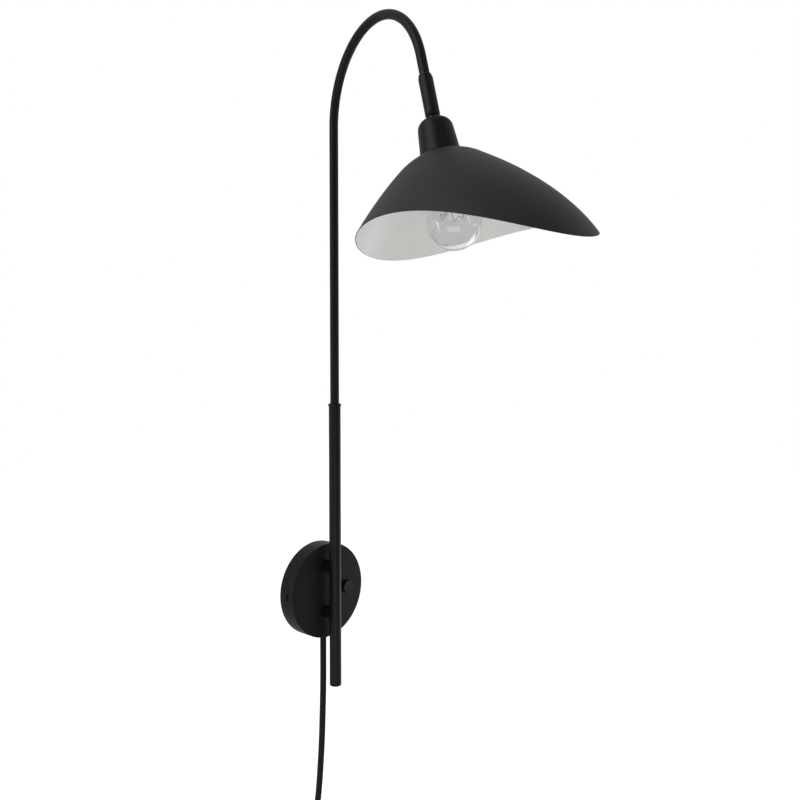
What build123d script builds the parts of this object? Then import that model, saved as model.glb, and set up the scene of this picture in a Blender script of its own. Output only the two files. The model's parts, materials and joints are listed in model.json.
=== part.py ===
from build123d import *
import math
import os

os.makedirs("parts", exist_ok=True)

# A plug-in wall lamp: a round back plate carries an upright tube on two posts, and an
# arched tube turns in it and holds a drooping, saddle-rimmed shade on a ball joint.
# The wall is the plane Y = 0, the room lies towards -Y and Z points up. The origin is
# the centre of the back plate on the wall. All sizes are in millimetres.

# ---- Driving dimensions -------------------------------------------------------------

# Clearances
seat_gap = 0.3  # between pieces that move past each other
slip_gap = 0.05  # on the radius, between a tube and what slides into it
run_gap = 0.05  # on the radius, between the turning tube and its bushes

# Back plate and wall bracket
plate_radius = 63.5
plate_depth = 26.0
plate_wall = 1.6
plate_edge_radius = 1.2
bracket_height = 24.0
bracket_thickness = 2.0
bracket_ear_depth = 17.0
bracket_slot_spacing = 70.0
bracket_slot_length = 16.0
bracket_slot_radius = 2.6
bracket_cable_hole_radius = 5.5
side_screw_radius = 2.0
side_screw_head_radius = 4.0
side_screw_head_height = 2.4
side_screw_length = 9.0
side_screw_depth = 12.0
screw_slot_width = 0.9
screw_slot_depth = 0.9

# Posts that hold the upright tube off the plate
post_radius = 8.0
post_spacing = 62.0
post_centre_height = 2.0
post_tip_depth = 34.6
nipple_radius = 5.0
nipple_bore_radius = 3.4
nipple_nut_radius = 8.0
nipple_nut_height = 3.5
post_screw_radius = 2.5
post_screw_head_radius = 4.5
post_screw_head_height = 3.0
slug_length = 14.0
slug_thread_depth = 7.0

# Upright tube, in two lengths that meet at a seam
tube_standoff = 39.7
upright_radius = 8.0
upright_wall = 1.0
upright_bottom = -124.2
seam_height = 56.6
upright_top = 252.0
seam_chamfer = 0.4
end_plug_flange = 1.8
end_plug_chamfer = 0.9
end_plug_spigot = 10.0
spigot_below_seam = 14.0
spigot_above_seam = 20.0
collar_radius = 8.7
collar_height = 4.4
collar_round = 1.4
bush_length = 20.0
lower_bush_rise = 8.0
lower_bush_length = 16.0
thrust_washer_height = 1.5
stop_screw_radius = 1.5
stop_screw_height = 112.0
stop_screw_reach = 0.9
stop_slot_clearance = 0.4

# Arched tube
arch_tube_radius = 6.0
arch_tube_wall = 1.0
arch_spring_height = 631.9
arch_radius = 110.7
arch_angle = 162.25
arm_swing = 15.0
arm_swing_limit = 75.0

# Ball joint, measured along the tube's end axis from the end of the arch
sleeve_radius = 8.5
sleeve_start = 25.5
sleeve_end = 79.8
top_nut_height = 3.6
top_nut_radius = 7.6
top_nut_chamfer = 0.9
top_nut_thread_length = 27.0
tube_insertion = 16.0
sleeve_chamfer = 0.9
sleeve_end_round = 4.5
ball_radius = 7.0
ball_gap = 0.25
ball_to_sleeve_end = 4.6
mouth_radius = 6.0
pad_to_ball_centre = 3.0
disc_spring_count = 3
disc_spring_thickness = 0.6
disc_spring_rise = 0.5
disc_spring_pitch = 1.3
stud_radius = 4.0
stud_bore_radius = 2.4
stud_thread_radius = 3.5
stud_length = 21.5

# Cap over the lamp holder
cap_start = 81.6
cap_flat_radius = 4.8
cap_crown_radius = 26.0
cap_crown_edge = 15.0
cap_shoulder_radius = 20.05
cap_shoulder_drop = 12.9
cap_base_radius = 22.4
cap_wall = 1.4
lock_nut_radius = 6.0
lock_nut_height = 3.5

# Shade: ellipses stacked along its own axis. Each reach grows with the drop below the
# neck and levels out at its own depth, so the bowl steepens towards the rim.
neck_radius = 22.0
neck_start = 119.0
shade_lean = 4.5
shade_lean_point = 84.0
shade_wall = 1.2
front_reach = 208.0
front_depth = 251.4
front_bend = 2.08
back_reach = 195.6
back_depth = 162.7
back_bend = 1.3
side_reach = 121.5
side_depth = 156.6
side_bend = 1.65
first_section_drop = 7.0
last_section_drop = 174.0
section_count = 13
# The rim drops along the shade's length as a cubic: it is highest near the neck.
rim_drop = 89.0
rim_slope = 0.1627
rim_saddle = 0.00115
rim_tip = 0.00000104

# Lamp holder and bulb
holder_start = 88.0
holder_boss_height = 3.0
holder_cap_radius = 16.0
holder_cap_wall = 2.2
holder_cap_side = 14.0
holder_lip_radius = 19.5
holder_lip_height = 4.0
holder_radius = 17.9
holder_bore_radius = 13.8
holder_mouth = 159.0
shade_ring_radius = 21.0
shade_ring_height = 5.0
contact_radius = 4.5
contact_height = 1.5
contact_stem_radius = 2.0
bulb_radius = 30.0
bulb_length = 105.0
bulb_centre = 209.0
bulb_cap_radius = 13.2
bulb_cap_length = 25.0
bulb_contact_radius = 4.6
bulb_contact_height = 1.6
bulb_cap_taper = 4.0
bulb_cap_wall = 0.5
bulb_neck_angle = 130.0
glass_wall = 0.8
stem_flare_height = 9.0
stem_radius = 3.2
stem_length = 32.0
wire_radius = 0.4
wire_spread = 9.0
wire_length = 16.0
wire_zigzag = 2.0

# Push button and its switch
button_across = 33.0
button_height = -1.0
button_radius = 8.4
button_proud = 5.0
button_edge_radius = 0.6
button_flange_radius = 9.8
button_flange_height = 1.6
button_length = 10.0
button_travel = 2.5
housing_outer_radius = 12.0
housing_inner_radius = 10.4
housing_depth = 19.0
housing_floor = 1.5
switch_gap = 0.4

# Wiring inside the plate
terminal_width = 24.0
terminal_rise = 22.0
terminal_depth = 13.0
terminal_across = -7.0
terminal_height = -1.0
terminal_screw_radius = 1.7
terminal_screw_depth = 3.0
earth_screw_radius = 2.0
earth_screw_head_radius = 4.2
earth_screw_head_height = 2.6
earth_screw_across = 15.0
core_radius = 1.2
core_spread = 2.9
clamp_width = 26.0
clamp_rise = 8.0
clamp_depth = 15.0
clamp_height = -48.0
lead_radius = 2.0
lead_bend_radius = 4.8

# Cord, gland and plug
cord_radius = 4.3
cord_exit_depth = 14.8
gland_radius = 6.6
gland_flange = 2.1
gland_length = 8.0
gland_body_radius = 5.6
gland_nut_radius = 8.0
gland_nut_height = 3.0
coil_radius = 57.5
coil_pitch = 9.1
coil_turns_in = 2.5
tail_length = 36.0
tail_swing = 6.0
tie_width = 13.0
tie_thickness = 1.3
tie_gap = 0.5
tie_corner_radius = 3.5
plug_width = 26.0
plug_thickness = 24.0
plug_length = 30.0
plug_corner_radius = 6.0
plug_edge_radius = 2.0
relief_length = 24.0
relief_tip_radius = 5.4
relief_root_radius = 7.6
blade_width = 6.3
blade_thickness = 1.6
blade_length = 16.0
blade_spacing = 12.7
ground_pin_radius = 2.4
ground_pin_length = 19.0
ground_pin_spacing = 11.9

# ---- Places worked out from the sizes ------------------------------------------------

UP = Vector(0, 0, 1)
swing = math.radians(arm_swing)
OUT = Vector(-math.sin(swing), -math.cos(swing), 0)
arm_plane = Plane(origin=(0, -tube_standoff, 0), x_dir=OUT, z_dir=OUT.cross(UP))
tube_axis_plane = Plane(origin=(0, -tube_standoff, 0), z_dir=UP)

arch_turn = math.radians(arch_angle)
arch_end = (
    arm_plane.origin
    + OUT * (arch_radius * (1 - math.cos(arch_turn)))
    + UP * (arch_spring_height + arch_radius * math.sin(arch_turn))
)
TIP = OUT * math.sin(arch_turn) + UP * math.cos(arch_turn)
TIP_ACROSS = OUT * -math.cos(arch_turn) + UP * math.sin(arch_turn)
tip_plane = Plane(origin=arch_end, x_dir=TIP_ACROSS, z_dir=TIP)
tip_section = Plane(origin=arch_end, x_dir=TIP_ACROSS, z_dir=TIP_ACROSS.cross(TIP))
TIP_AXIS = Axis(arch_end, TIP)

lean = math.radians(shade_lean)
SHADE_DOWN = TIP * math.cos(lean) - TIP_ACROSS * math.sin(lean)
SHADE_FORWARD = TIP_ACROSS * math.cos(lean) + TIP * math.sin(lean)
neck_point = (
    arch_end + TIP * shade_lean_point + SHADE_DOWN * (neck_start - shade_lean_point)
)
shade_plane = Plane(origin=neck_point, x_dir=SHADE_FORWARD, z_dir=SHADE_DOWN)
shade_side_plane = Plane(
    origin=neck_point, x_dir=SHADE_FORWARD, z_dir=SHADE_FORWARD.cross(SHADE_DOWN)
)

post_heights = [
    post_centre_height + post_spacing / 2,
    post_centre_height - post_spacing / 2,
]
plate_inside = plate_depth - plate_wall
tube_back = tube_standoff - upright_radius
tube_bore = upright_radius - upright_wall
spigot_top = seam_height + spigot_above_seam
arch_tube_bottom = spigot_top + thrust_washer_height + seat_gap
arch_tube_bore = arch_tube_radius - arch_tube_wall
tube_end = sleeve_start + tube_insertion
lead_bore_radius = lead_radius + seat_gap
sleeve_bore = ball_radius + ball_gap
ball_centre = sleeve_end - ball_to_sleeve_end
sleeve_split = sleeve_start + top_nut_height
top_nut_end = sleeve_split + top_nut_thread_length
pad_start = top_nut_end + disc_spring_count * disc_spring_pitch + seat_gap
pad_end = ball_centre - pad_to_ball_centre
stud_end = ball_centre + stud_length
shade_bore = holder_radius + seat_gap
bulb_tip = bulb_centre + bulb_radius - bulb_length
bulb_cap_end = bulb_tip + bulb_contact_height + bulb_cap_length
gland_face = -plate_radius - gland_flange


def room_plane(across, height, depth):
    """A plane that faces the room, with its origin at a depth in front of the wall."""
    return Plane(origin=(across, -depth, height), x_dir=(1, 0, 0), z_dir=(0, -1, 0))


def reach(drop, end_reach, end_depth, bend):
    """How far the shade's outside lies from its axis at a drop below the neck."""
    left = max(1 - drop / end_depth, 0.0)
    return neck_radius + (end_reach - neck_radius) * (1 - left**bend)


def reach_slope(drop, end_reach, end_depth, bend):
    """How fast that reach grows with the drop."""
    left = max(1 - drop / end_depth, 0.0)
    return (end_reach - neck_radius) * bend / end_depth * left ** (bend - 1)


def shade_section(drop, inset):
    """Centre and half-axes of the shade's ellipse, with a wall's thickness taken off."""
    sizes = []
    for way in (
        (front_reach, front_depth, front_bend),
        (back_reach, back_depth, back_bend),
        (side_reach, side_depth, side_bend),
    ):
        steep = math.sqrt(1 + reach_slope(drop, *way) ** 2)
        sizes.append(reach(drop, *way) - inset * steep)
    front, back, side = sizes
    return (front - back) / 2, (front + back) / 2, side


section_step = (last_section_drop - first_section_drop) / (section_count - 1)
section_drops = [first_section_drop + section_step * number for number in range(section_count)]


def rim_height(forward):
    """Drop of the shade's rim below the neck, at a distance forward of the axis."""
    return (
        rim_drop
        + rim_slope * forward
        + rim_saddle * forward**2
        + rim_tip * forward**3
    )


def rim_grade(forward):
    """How fast that drop grows with the distance."""
    return rim_slope + 2 * rim_saddle * forward + 3 * rim_tip * forward**2


def start_plane(path):
    """The plane that a path starts from, square to it."""
    return Plane(origin=path @ 0, z_dir=path % 0)


def corner_radii(points, share=0.45):
    """The largest arcs that leave most of each run straight, one for each corner."""
    radii = []
    for before, corner, after in zip(points, points[1:], points[2:]):
        run_in = Vector(*corner) - Vector(*before)
        run_out = Vector(*after) - Vector(*corner)
        half_turn = math.radians(run_in.get_angle(run_out)) / 2
        shorter = min(run_in.length, run_out.length)
        radii.append(share * shorter / math.tan(half_turn))
    return radii


# ---- Back plate and what fixes it to the wall ----------------------------------------

ear_outside = plate_radius - plate_wall - seat_gap

with BuildPart() as wall_bracket:
    with BuildSketch(room_plane(0, 0, 0)):
        Rectangle(2 * ear_outside, bracket_height)
        with GridLocations(bracket_slot_spacing, 0, 2, 1):
            SlotOverall(bracket_slot_length, 2 * bracket_slot_radius, mode=Mode.SUBTRACT)
        Circle(bracket_cable_hole_radius, mode=Mode.SUBTRACT)
        with Locations((earth_screw_across, 0)):
            Circle(earth_screw_radius, mode=Mode.SUBTRACT)
    extrude(amount=bracket_thickness)
    with BuildSketch(room_plane(0, 0, 0)):
        with GridLocations(2 * ear_outside - bracket_thickness, 0, 2, 1):
            Rectangle(bracket_thickness, bracket_height * 0.7)
    extrude(amount=bracket_ear_depth)
    with BuildSketch(room_plane(0, 0, 0)):
        Circle(ear_outside)
    extrude(amount=bracket_ear_depth, mode=Mode.INTERSECT)
    with BuildSketch(Plane(origin=(0, -side_screw_depth, 0), z_dir=(1, 0, 0))):
        Circle(side_screw_radius)
    extrude(amount=plate_radius, both=True, mode=Mode.SUBTRACT)
wall_bracket.part.label = "wall_bracket"
export_step(wall_bracket.part, "parts/wall_bracket.step")

with BuildPart() as back_plate:
    with BuildSketch(room_plane(0, 0, 0)):
        Circle(plate_radius)
    extrude(amount=plate_depth)
    fillet(back_plate.edges().group_by(Axis.Y)[0], plate_edge_radius)
    with BuildSketch(room_plane(0, 0, 0)):
        Circle(plate_radius - plate_wall)
    extrude(amount=plate_inside, mode=Mode.SUBTRACT)
    with BuildSketch(room_plane(0, 0, plate_inside)):
        with Locations((0, post_heights[0])):
            Circle(nipple_radius + slip_gap)
        with Locations((0, post_heights[1])):
            Circle(post_screw_radius + slip_gap)
        with Locations((button_across, button_height)):
            Circle(button_radius + seat_gap)
    extrude(amount=plate_wall, mode=Mode.SUBTRACT)
    with BuildSketch(Plane(origin=(0, -side_screw_depth, 0), z_dir=(1, 0, 0))):
        Circle(side_screw_radius + slip_gap)
    extrude(amount=plate_radius + 1, both=True, mode=Mode.SUBTRACT)
    with BuildSketch(Plane(origin=(0, -cord_exit_depth, 0), z_dir=(0, 0, -1))):
        Circle(gland_body_radius + slip_gap)
    extrude(amount=plate_radius + 1, mode=Mode.SUBTRACT)
back_plate.part.label = "back_plate"
export_step(back_plate.part, "parts/back_plate.step")

with BuildPart() as side_screws:
    for side in (1, -1):
        seat = plate_radius + 0.1
        screw_plane = Plane(
            origin=(side * seat, -side_screw_depth, 0), x_dir=(0, 1, 0), z_dir=(side, 0, 0)
        )
        with BuildSketch(screw_plane):
            Circle(side_screw_head_radius)
        extrude(amount=side_screw_head_height)
        with BuildSketch(screw_plane):
            Circle(side_screw_radius)
        extrude(amount=-side_screw_length)
    heads = side_screws.edges().filter_by(GeomType.CIRCLE).group_by(Axis.X)
    fillet(heads[0] + heads[-1], side_screw_head_height * 0.6)
    for side in (1, -1):
        top = plate_radius + 0.1 + side_screw_head_height
        slot_plane = Plane(
            origin=(side * top, -side_screw_depth, 0), x_dir=(0, 1, 0), z_dir=(side, 0, 0)
        )
        with BuildSketch(slot_plane):
            Rectangle(2 * side_screw_head_radius, screw_slot_width, rotation=35)
        extrude(amount=-screw_slot_depth, mode=Mode.SUBTRACT)
side_screws.part.label = "side_screws"
export_step(side_screws.part, "parts/side_screws.step")

# ---- Posts ---------------------------------------------------------------------------

for number, name in enumerate(("upper_post", "lower_post")):
    bore = (nipple_radius, post_screw_radius)[number] + slip_gap
    with BuildPart() as post:
        with BuildSketch(room_plane(0, post_heights[number], plate_depth)):
            Circle(post_radius)
            Circle(bore, mode=Mode.SUBTRACT)
        extrude(amount=post_tip_depth - plate_depth)
        with BuildSketch(tube_axis_plane.offset(post_heights[number] - post_radius - 1)):
            Circle(upright_radius)
        extrude(amount=2 * post_radius + 2, mode=Mode.SUBTRACT)
    post.part.label = name
    export_step(post.part, f"parts/{name}.step")

nipple_inside = plate_inside - nipple_nut_height - 1.5
with BuildPart() as post_nipple:
    with BuildSketch(room_plane(0, post_heights[0], nipple_inside)):
        Circle(nipple_radius)
        Circle(nipple_bore_radius, mode=Mode.SUBTRACT)
    extrude(amount=tube_standoff - tube_bore - nipple_inside + 0.6)
post_nipple.part.label = "post_nipple"
export_step(post_nipple.part, "parts/post_nipple.step")

with BuildPart() as nipple_nut:
    with BuildSketch(room_plane(0, post_heights[0], plate_inside)):
        RegularPolygon(nipple_nut_radius, 6)
        Circle(nipple_radius + slip_gap, mode=Mode.SUBTRACT)
    extrude(amount=-nipple_nut_height)
nipple_nut.part.label = "nipple_nut"
export_step(nipple_nut.part, "parts/nipple_nut.step")

with BuildPart() as post_screw:
    with BuildSketch(room_plane(0, post_heights[1], plate_inside)):
        Circle(post_screw_head_radius)
    extrude(amount=-post_screw_head_height)
    fillet(post_screw.edges().group_by(Axis.Y)[-1], 1.2)
    with BuildSketch(room_plane(0, post_heights[1], plate_inside)):
        Circle(post_screw_radius)
    extrude(amount=tube_standoff - tube_bore + slug_thread_depth - plate_inside)
    with BuildSketch(
        room_plane(0, post_heights[1], plate_inside - post_screw_head_height)
    ):
        Rectangle(2 * post_screw_head_radius, screw_slot_width)
    extrude(amount=screw_slot_depth, mode=Mode.SUBTRACT)
post_screw.part.label = "post_screw"
export_step(post_screw.part, "parts/post_screw.step")

with BuildPart() as tube_slug:
    with BuildSketch(tube_axis_plane.offset(post_heights[1] - slug_length / 2)):
        Circle(tube_bore - slip_gap)
    extrude(amount=slug_length)
    with BuildSketch(room_plane(0, post_heights[1], tube_back)):
        Circle(post_screw_radius)
    extrude(amount=upright_wall + slug_thread_depth, mode=Mode.SUBTRACT)
tube_slug.part.label = "tube_slug"
export_step(tube_slug.part, "parts/tube_slug.step")

# ---- Upright tube --------------------------------------------------------------------

with BuildPart() as lower_tube:
    with BuildSketch(tube_axis_plane.offset(upright_bottom)):
        Circle(upright_radius)
        Circle(tube_bore, mode=Mode.SUBTRACT)
    extrude(amount=seam_height - upright_bottom)
    outer_rings = lower_tube.edges().filter_by(
        lambda edge: edge.geom_type == GeomType.CIRCLE
        and abs(edge.radius - upright_radius) < slip_gap
    )
    chamfer(outer_rings, seam_chamfer)
    with BuildSketch(room_plane(0, 0, tube_back - 2)):
        with Locations((0, post_heights[0])):
            Circle(nipple_radius + slip_gap)
        with Locations((0, post_heights[1])):
            Circle(post_screw_radius + slip_gap)
    extrude(amount=upright_radius, mode=Mode.SUBTRACT)
lower_tube.part.label = "lower_tube"
export_step(lower_tube.part, "parts/lower_tube.step")

with BuildPart() as upper_tube:
    with BuildSketch(tube_axis_plane.offset(seam_height)):
        Circle(upright_radius)
        Circle(tube_bore, mode=Mode.SUBTRACT)
    extrude(amount=upright_top - seam_height)
    outer_rings = upper_tube.edges().filter_by(
        lambda edge: edge.geom_type == GeomType.CIRCLE
        and abs(edge.radius - upright_radius) < slip_gap
    )
    chamfer(outer_rings.sort_by(Axis.Z)[0], seam_chamfer)
    with BuildSketch(room_plane(0, stop_screw_height, tube_back - 2)):
        Circle(stop_screw_radius + slip_gap)
    extrude(amount=upright_radius, mode=Mode.SUBTRACT)
upper_tube.part.label = "upper_tube"
export_step(upper_tube.part, "parts/upper_tube.step")

with BuildPart() as end_plug:
    with BuildSketch(tube_axis_plane.offset(upright_bottom)):
        Circle(upright_radius)
    extrude(amount=-end_plug_flange)
    chamfer(end_plug.edges().group_by(Axis.Z)[0], end_plug_chamfer)
    with BuildSketch(tube_axis_plane.offset(upright_bottom)):
        Circle(tube_bore - slip_gap)
    extrude(amount=end_plug_spigot)
end_plug.part.label = "end_plug"
export_step(end_plug.part, "parts/end_plug.step")

with BuildPart() as joining_spigot:
    with BuildSketch(tube_axis_plane.offset(seam_height - spigot_below_seam)):
        Circle(tube_bore - slip_gap)
        Circle(lead_bore_radius, mode=Mode.SUBTRACT)
    extrude(amount=spigot_below_seam + spigot_above_seam)
joining_spigot.part.label = "joining_spigot"
export_step(joining_spigot.part, "parts/joining_spigot.step")

with BuildPart() as collar:
    with BuildSketch(tube_axis_plane.offset(upright_top)):
        Circle(collar_radius)
        Circle(arch_tube_radius + seat_gap, mode=Mode.SUBTRACT)
    extrude(amount=collar_height)
    rounded = collar.edges().filter_by(
        lambda edge: edge.geom_type == GeomType.CIRCLE
        and abs(edge.radius - collar_radius) < slip_gap
    )
    fillet(rounded, collar_round)
collar.part.label = "collar"
export_step(collar.part, "parts/collar.step")

with BuildPart() as collar_bush:
    with BuildSketch(tube_axis_plane.offset(upright_top - bush_length)):
        Circle(tube_bore - slip_gap)
        Circle(arch_tube_radius + run_gap, mode=Mode.SUBTRACT)
    extrude(amount=bush_length)
collar_bush.part.label = "collar_bush"
export_step(collar_bush.part, "parts/collar_bush.step")

with BuildPart() as lower_bush:
    with BuildSketch(tube_axis_plane.offset(spigot_top + lower_bush_rise)):
        Circle(tube_bore - slip_gap)
        Circle(arch_tube_radius + run_gap, mode=Mode.SUBTRACT)
    extrude(amount=lower_bush_length)
lower_bush.part.label = "lower_bush"
export_step(lower_bush.part, "parts/lower_bush.step")

with BuildPart() as thrust_washer:
    with BuildSketch(tube_axis_plane.offset(spigot_top)):
        Circle(tube_bore - slip_gap)
        Circle(lead_bore_radius, mode=Mode.SUBTRACT)
    extrude(amount=thrust_washer_height)
thrust_washer.part.label = "thrust_washer"
export_step(thrust_washer.part, "parts/thrust_washer.step")

stop_screw_start = tube_back + 0.2
stop_screw_end = tube_standoff - arch_tube_radius + stop_screw_reach
with BuildPart() as stop_screw:
    with BuildSketch(room_plane(0, stop_screw_height, stop_screw_start)):
        Circle(stop_screw_radius)
    extrude(amount=stop_screw_end - stop_screw_start)
stop_screw.part.label = "stop_screw"
export_step(stop_screw.part, "parts/stop_screw.step")

# ---- Arched tube and ball joint ------------------------------------------------------

with BuildPart() as arched_tube:
    with BuildLine(arm_plane) as arch_path:
        upright_run = Line((0, arch_tube_bottom), (0, arch_spring_height))
        bend = CenterArc((arch_radius, arch_spring_height), arch_radius, 180, -arch_angle)
        PolarLine(bend @ 1, tube_end, direction=bend % 1)
    with BuildSketch(tube_axis_plane.offset(arch_tube_bottom)):
        Circle(arch_tube_radius)
        Circle(arch_tube_bore, mode=Mode.SUBTRACT)
    sweep(path=arch_path.wire())
    # The stop screw runs in this slot, and its ends stop the arm's swing.
    stop_slack = math.degrees(
        math.asin((stop_screw_radius + stop_slot_clearance) / arch_tube_radius)
    )
    slot_half_angle = arm_swing_limit + stop_slack
    wall_heading = 90
    slot_middle = wall_heading - arm_swing
    with BuildSketch(tube_axis_plane.offset(stop_screw_height)) as slot_sector:
        with BuildLine():
            slot_arc = CenterArc(
                (0, 0), 2 * arch_tube_radius, slot_middle - slot_half_angle, slot_half_angle
            )
            rest_arc = CenterArc((0, 0), 2 * arch_tube_radius, slot_middle, slot_half_angle)
            Line(rest_arc @ 1, (0, 0))
            Line((0, 0), slot_arc @ 0)
        make_face()
        Circle(arch_tube_bore - 0.5, mode=Mode.SUBTRACT)
    extrude(
        amount=stop_screw_radius + stop_slot_clearance, both=True, mode=Mode.SUBTRACT
    )
arched_tube.part.label = "arched_tube"
export_step(arched_tube.part, "parts/arched_tube.step")

with BuildPart() as sleeve_top_nut:
    with BuildSketch(tip_section):
        with BuildLine():
            Polyline(
                (arch_tube_radius, sleeve_start),
                (top_nut_radius - top_nut_chamfer, sleeve_start),
                (top_nut_radius, sleeve_start + top_nut_chamfer),
                (top_nut_radius, sleeve_split),
                (sleeve_bore - slip_gap, sleeve_split),
                (sleeve_bore - slip_gap, top_nut_end),
                (lead_bore_radius, top_nut_end),
                (lead_bore_radius, tube_end),
                (arch_tube_radius, tube_end),
                close=True,
            )
        make_face()
    revolve(axis=TIP_AXIS)
sleeve_top_nut.part.label = "sleeve_top_nut"
export_step(sleeve_top_nut.part, "parts/sleeve_top_nut.step")

# The sleeve's end is rounded on the outside and cupped on the inside, round the ball.
seat_radius = ball_radius + ball_gap
mouth_angle = math.degrees(
    math.acos((mouth_radius - sleeve_radius + sleeve_end_round) / sleeve_end_round)
)
seat_angle = math.degrees(math.acos(mouth_radius / seat_radius))
end_round_height = sleeve_end - sleeve_end_round * math.sin(math.radians(mouth_angle))
with BuildPart() as swivel_sleeve:
    with BuildSketch(tip_section):
        with BuildLine():
            outside = Polyline(
                (sleeve_bore, sleeve_split),
                (sleeve_radius - sleeve_chamfer, sleeve_split),
                (sleeve_radius, sleeve_split + sleeve_chamfer),
                (sleeve_radius, end_round_height),
            )
            end_round = CenterArc(
                (sleeve_radius - sleeve_end_round, end_round_height),
                sleeve_end_round,
                0,
                mouth_angle,
            )
            seat = CenterArc((0, ball_centre), seat_radius, seat_angle, -seat_angle)
            Line(end_round @ 1, seat @ 0)
            Line(seat @ 1, outside @ 0)
        make_face()
    revolve(axis=TIP_AXIS)
swivel_sleeve.part.label = "swivel_sleeve"
export_step(swivel_sleeve.part, "parts/swivel_sleeve.step")

with BuildPart() as disc_springs:
    for number in range(disc_spring_count):
        low = top_nut_end + seat_gap / 2 + number * disc_spring_pitch
        with BuildSketch(tip_section):
            with BuildLine():
                Polyline(
                    (lead_bore_radius + seat_gap, low),
                    (sleeve_bore - seat_gap, low + disc_spring_rise),
                    (sleeve_bore - seat_gap, low + disc_spring_rise + disc_spring_thickness),
                    (lead_bore_radius + seat_gap, low + disc_spring_thickness),
                    close=True,
                )
            make_face()
        revolve(axis=TIP_AXIS)
disc_springs.part.label = "disc_springs"
export_step(disc_springs.part, "parts/disc_springs.step")

with BuildPart() as pressure_pad:
    with BuildSketch(tip_plane.offset(pad_start)):
        Circle(sleeve_bore - slip_gap)
        Circle(lead_bore_radius + seat_gap, mode=Mode.SUBTRACT)
    extrude(amount=pad_end - pad_start)
    with BuildSketch(tip_section):
        with BuildLine():
            cup = CenterArc((0, ball_centre), seat_radius, -90, 180)
            Line(cup @ 1, cup @ 0)
        make_face()
    revolve(axis=TIP_AXIS, mode=Mode.SUBTRACT)
pressure_pad.part.label = "pressure_pad"
export_step(pressure_pad.part, "parts/pressure_pad.step")

ball_top_angle = -math.degrees(math.acos(stud_bore_radius / ball_radius))
ball_neck_angle = math.degrees(math.acos(stud_radius / ball_radius))
with BuildPart() as ball_stud:
    with BuildSketch(tip_section):
        with BuildLine():
            ball = CenterArc(
                (0, ball_centre), ball_radius, ball_top_angle, ball_neck_angle - ball_top_angle
            )
            Polyline(
                ball @ 1,
                (stud_radius, cap_start),
                (stud_thread_radius, cap_start),
                (stud_thread_radius, stud_end),
                (stud_bore_radius, stud_end),
                ball @ 0,
            )
        make_face()
    revolve(axis=TIP_AXIS)
ball_stud.part.label = "ball_stud"
export_step(ball_stud.part, "parts/ball_stud.step")

# ---- Cap and shade -------------------------------------------------------------------

crown_centre = cap_start + math.sqrt(cap_crown_radius**2 - cap_flat_radius**2)
# The cap is turned from a flat top, a round crown, a shoulder and a taper, and the same
# section pulled in by the wall's thickness hollows it.
with BuildPart() as cap:
    for inset, way in ((0, Mode.ADD), (cap_wall, Mode.SUBTRACT)):
        top = cap_start + inset
        crown_radius = cap_crown_radius - inset
        crown_edge = cap_crown_edge * crown_radius / cap_crown_radius
        top_angle = math.degrees(math.asin((crown_centre - top) / crown_radius))
        edge_angle = math.degrees(math.acos(crown_edge / crown_radius))
        with BuildSketch(tip_section):
            with BuildLine():
                crown = CenterArc(
                    (0, crown_centre), crown_radius, -top_angle, top_angle - edge_angle
                )
                shoulder = TangentArc(
                    crown @ 1,
                    (cap_shoulder_radius - inset, cap_start + cap_shoulder_drop),
                    tangent=crown % 1,
                )
                Polyline(
                    shoulder @ 1,
                    (cap_base_radius - inset, neck_start),
                    (0, neck_start),
                    (0, top),
                    crown @ 0,
                )
            make_face()
        revolve(axis=TIP_AXIS, mode=way)
    with BuildSketch(tip_plane.offset(cap_start)):
        Circle(stud_thread_radius + slip_gap)
    extrude(amount=2 * cap_wall, mode=Mode.SUBTRACT)
cap.part.label = "cap"
export_step(cap.part, "parts/cap.step")

with BuildPart() as lock_nut:
    with BuildSketch(tip_plane.offset(cap_start + cap_wall + seat_gap)):
        RegularPolygon(lock_nut_radius, 6)
        Circle(stud_thread_radius + slip_gap, mode=Mode.SUBTRACT)
    extrude(amount=lock_nut_height)
lock_nut.part.label = "lock_nut"
export_step(lock_nut.part, "parts/lock_nut.step")

# A cubic is drawn exactly by four points, a third of its length apart.
rim_back = -1.2 * back_reach
rim_front = 1.2 * front_reach
rim_third = (rim_front - rim_back) / 3
with BuildPart() as shade:
    with BuildSketch(tip_plane.offset(neck_start)):
        Circle(neck_radius)
    for drop in section_drops:
        centre, half_length, half_width = shade_section(drop, 0)
        with BuildSketch(shade_plane.offset(drop)):
            with Locations((centre, 0)):
                Ellipse(half_length, half_width)
    loft()
    with BuildSketch(tip_plane.offset(neck_start + shade_wall)):
        Circle(neck_radius - shade_wall / 2)
    for drop in section_drops:
        centre, half_length, half_width = shade_section(drop, shade_wall)
        with BuildSketch(shade_plane.offset(drop)):
            with Locations((centre, 0)):
                Ellipse(half_length, half_width)
    loft(mode=Mode.SUBTRACT)
    with BuildSketch(tip_plane.offset(neck_start)):
        Circle(shade_bore)
    extrude(amount=2 * shade_wall, mode=Mode.SUBTRACT)
    with BuildSketch(shade_side_plane):
        with BuildLine():
            rim = Bezier(
                (rim_back, rim_height(rim_back)),
                (rim_back + rim_third, rim_height(rim_back) + rim_third * rim_grade(rim_back)),
                (rim_front - rim_third, rim_height(rim_front) - rim_third * rim_grade(rim_front)),
                (rim_front, rim_height(rim_front)),
            )
            Polyline(
                rim @ 1,
                (rim_front, 2 * section_drops[-1]),
                (rim_back, 2 * section_drops[-1]),
                rim @ 0,
            )
        make_face()
    extrude(amount=1.2 * side_reach, both=True, mode=Mode.SUBTRACT)
shade.part.label = "shade"
export_step(shade.part, "parts/shade.step")

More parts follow.
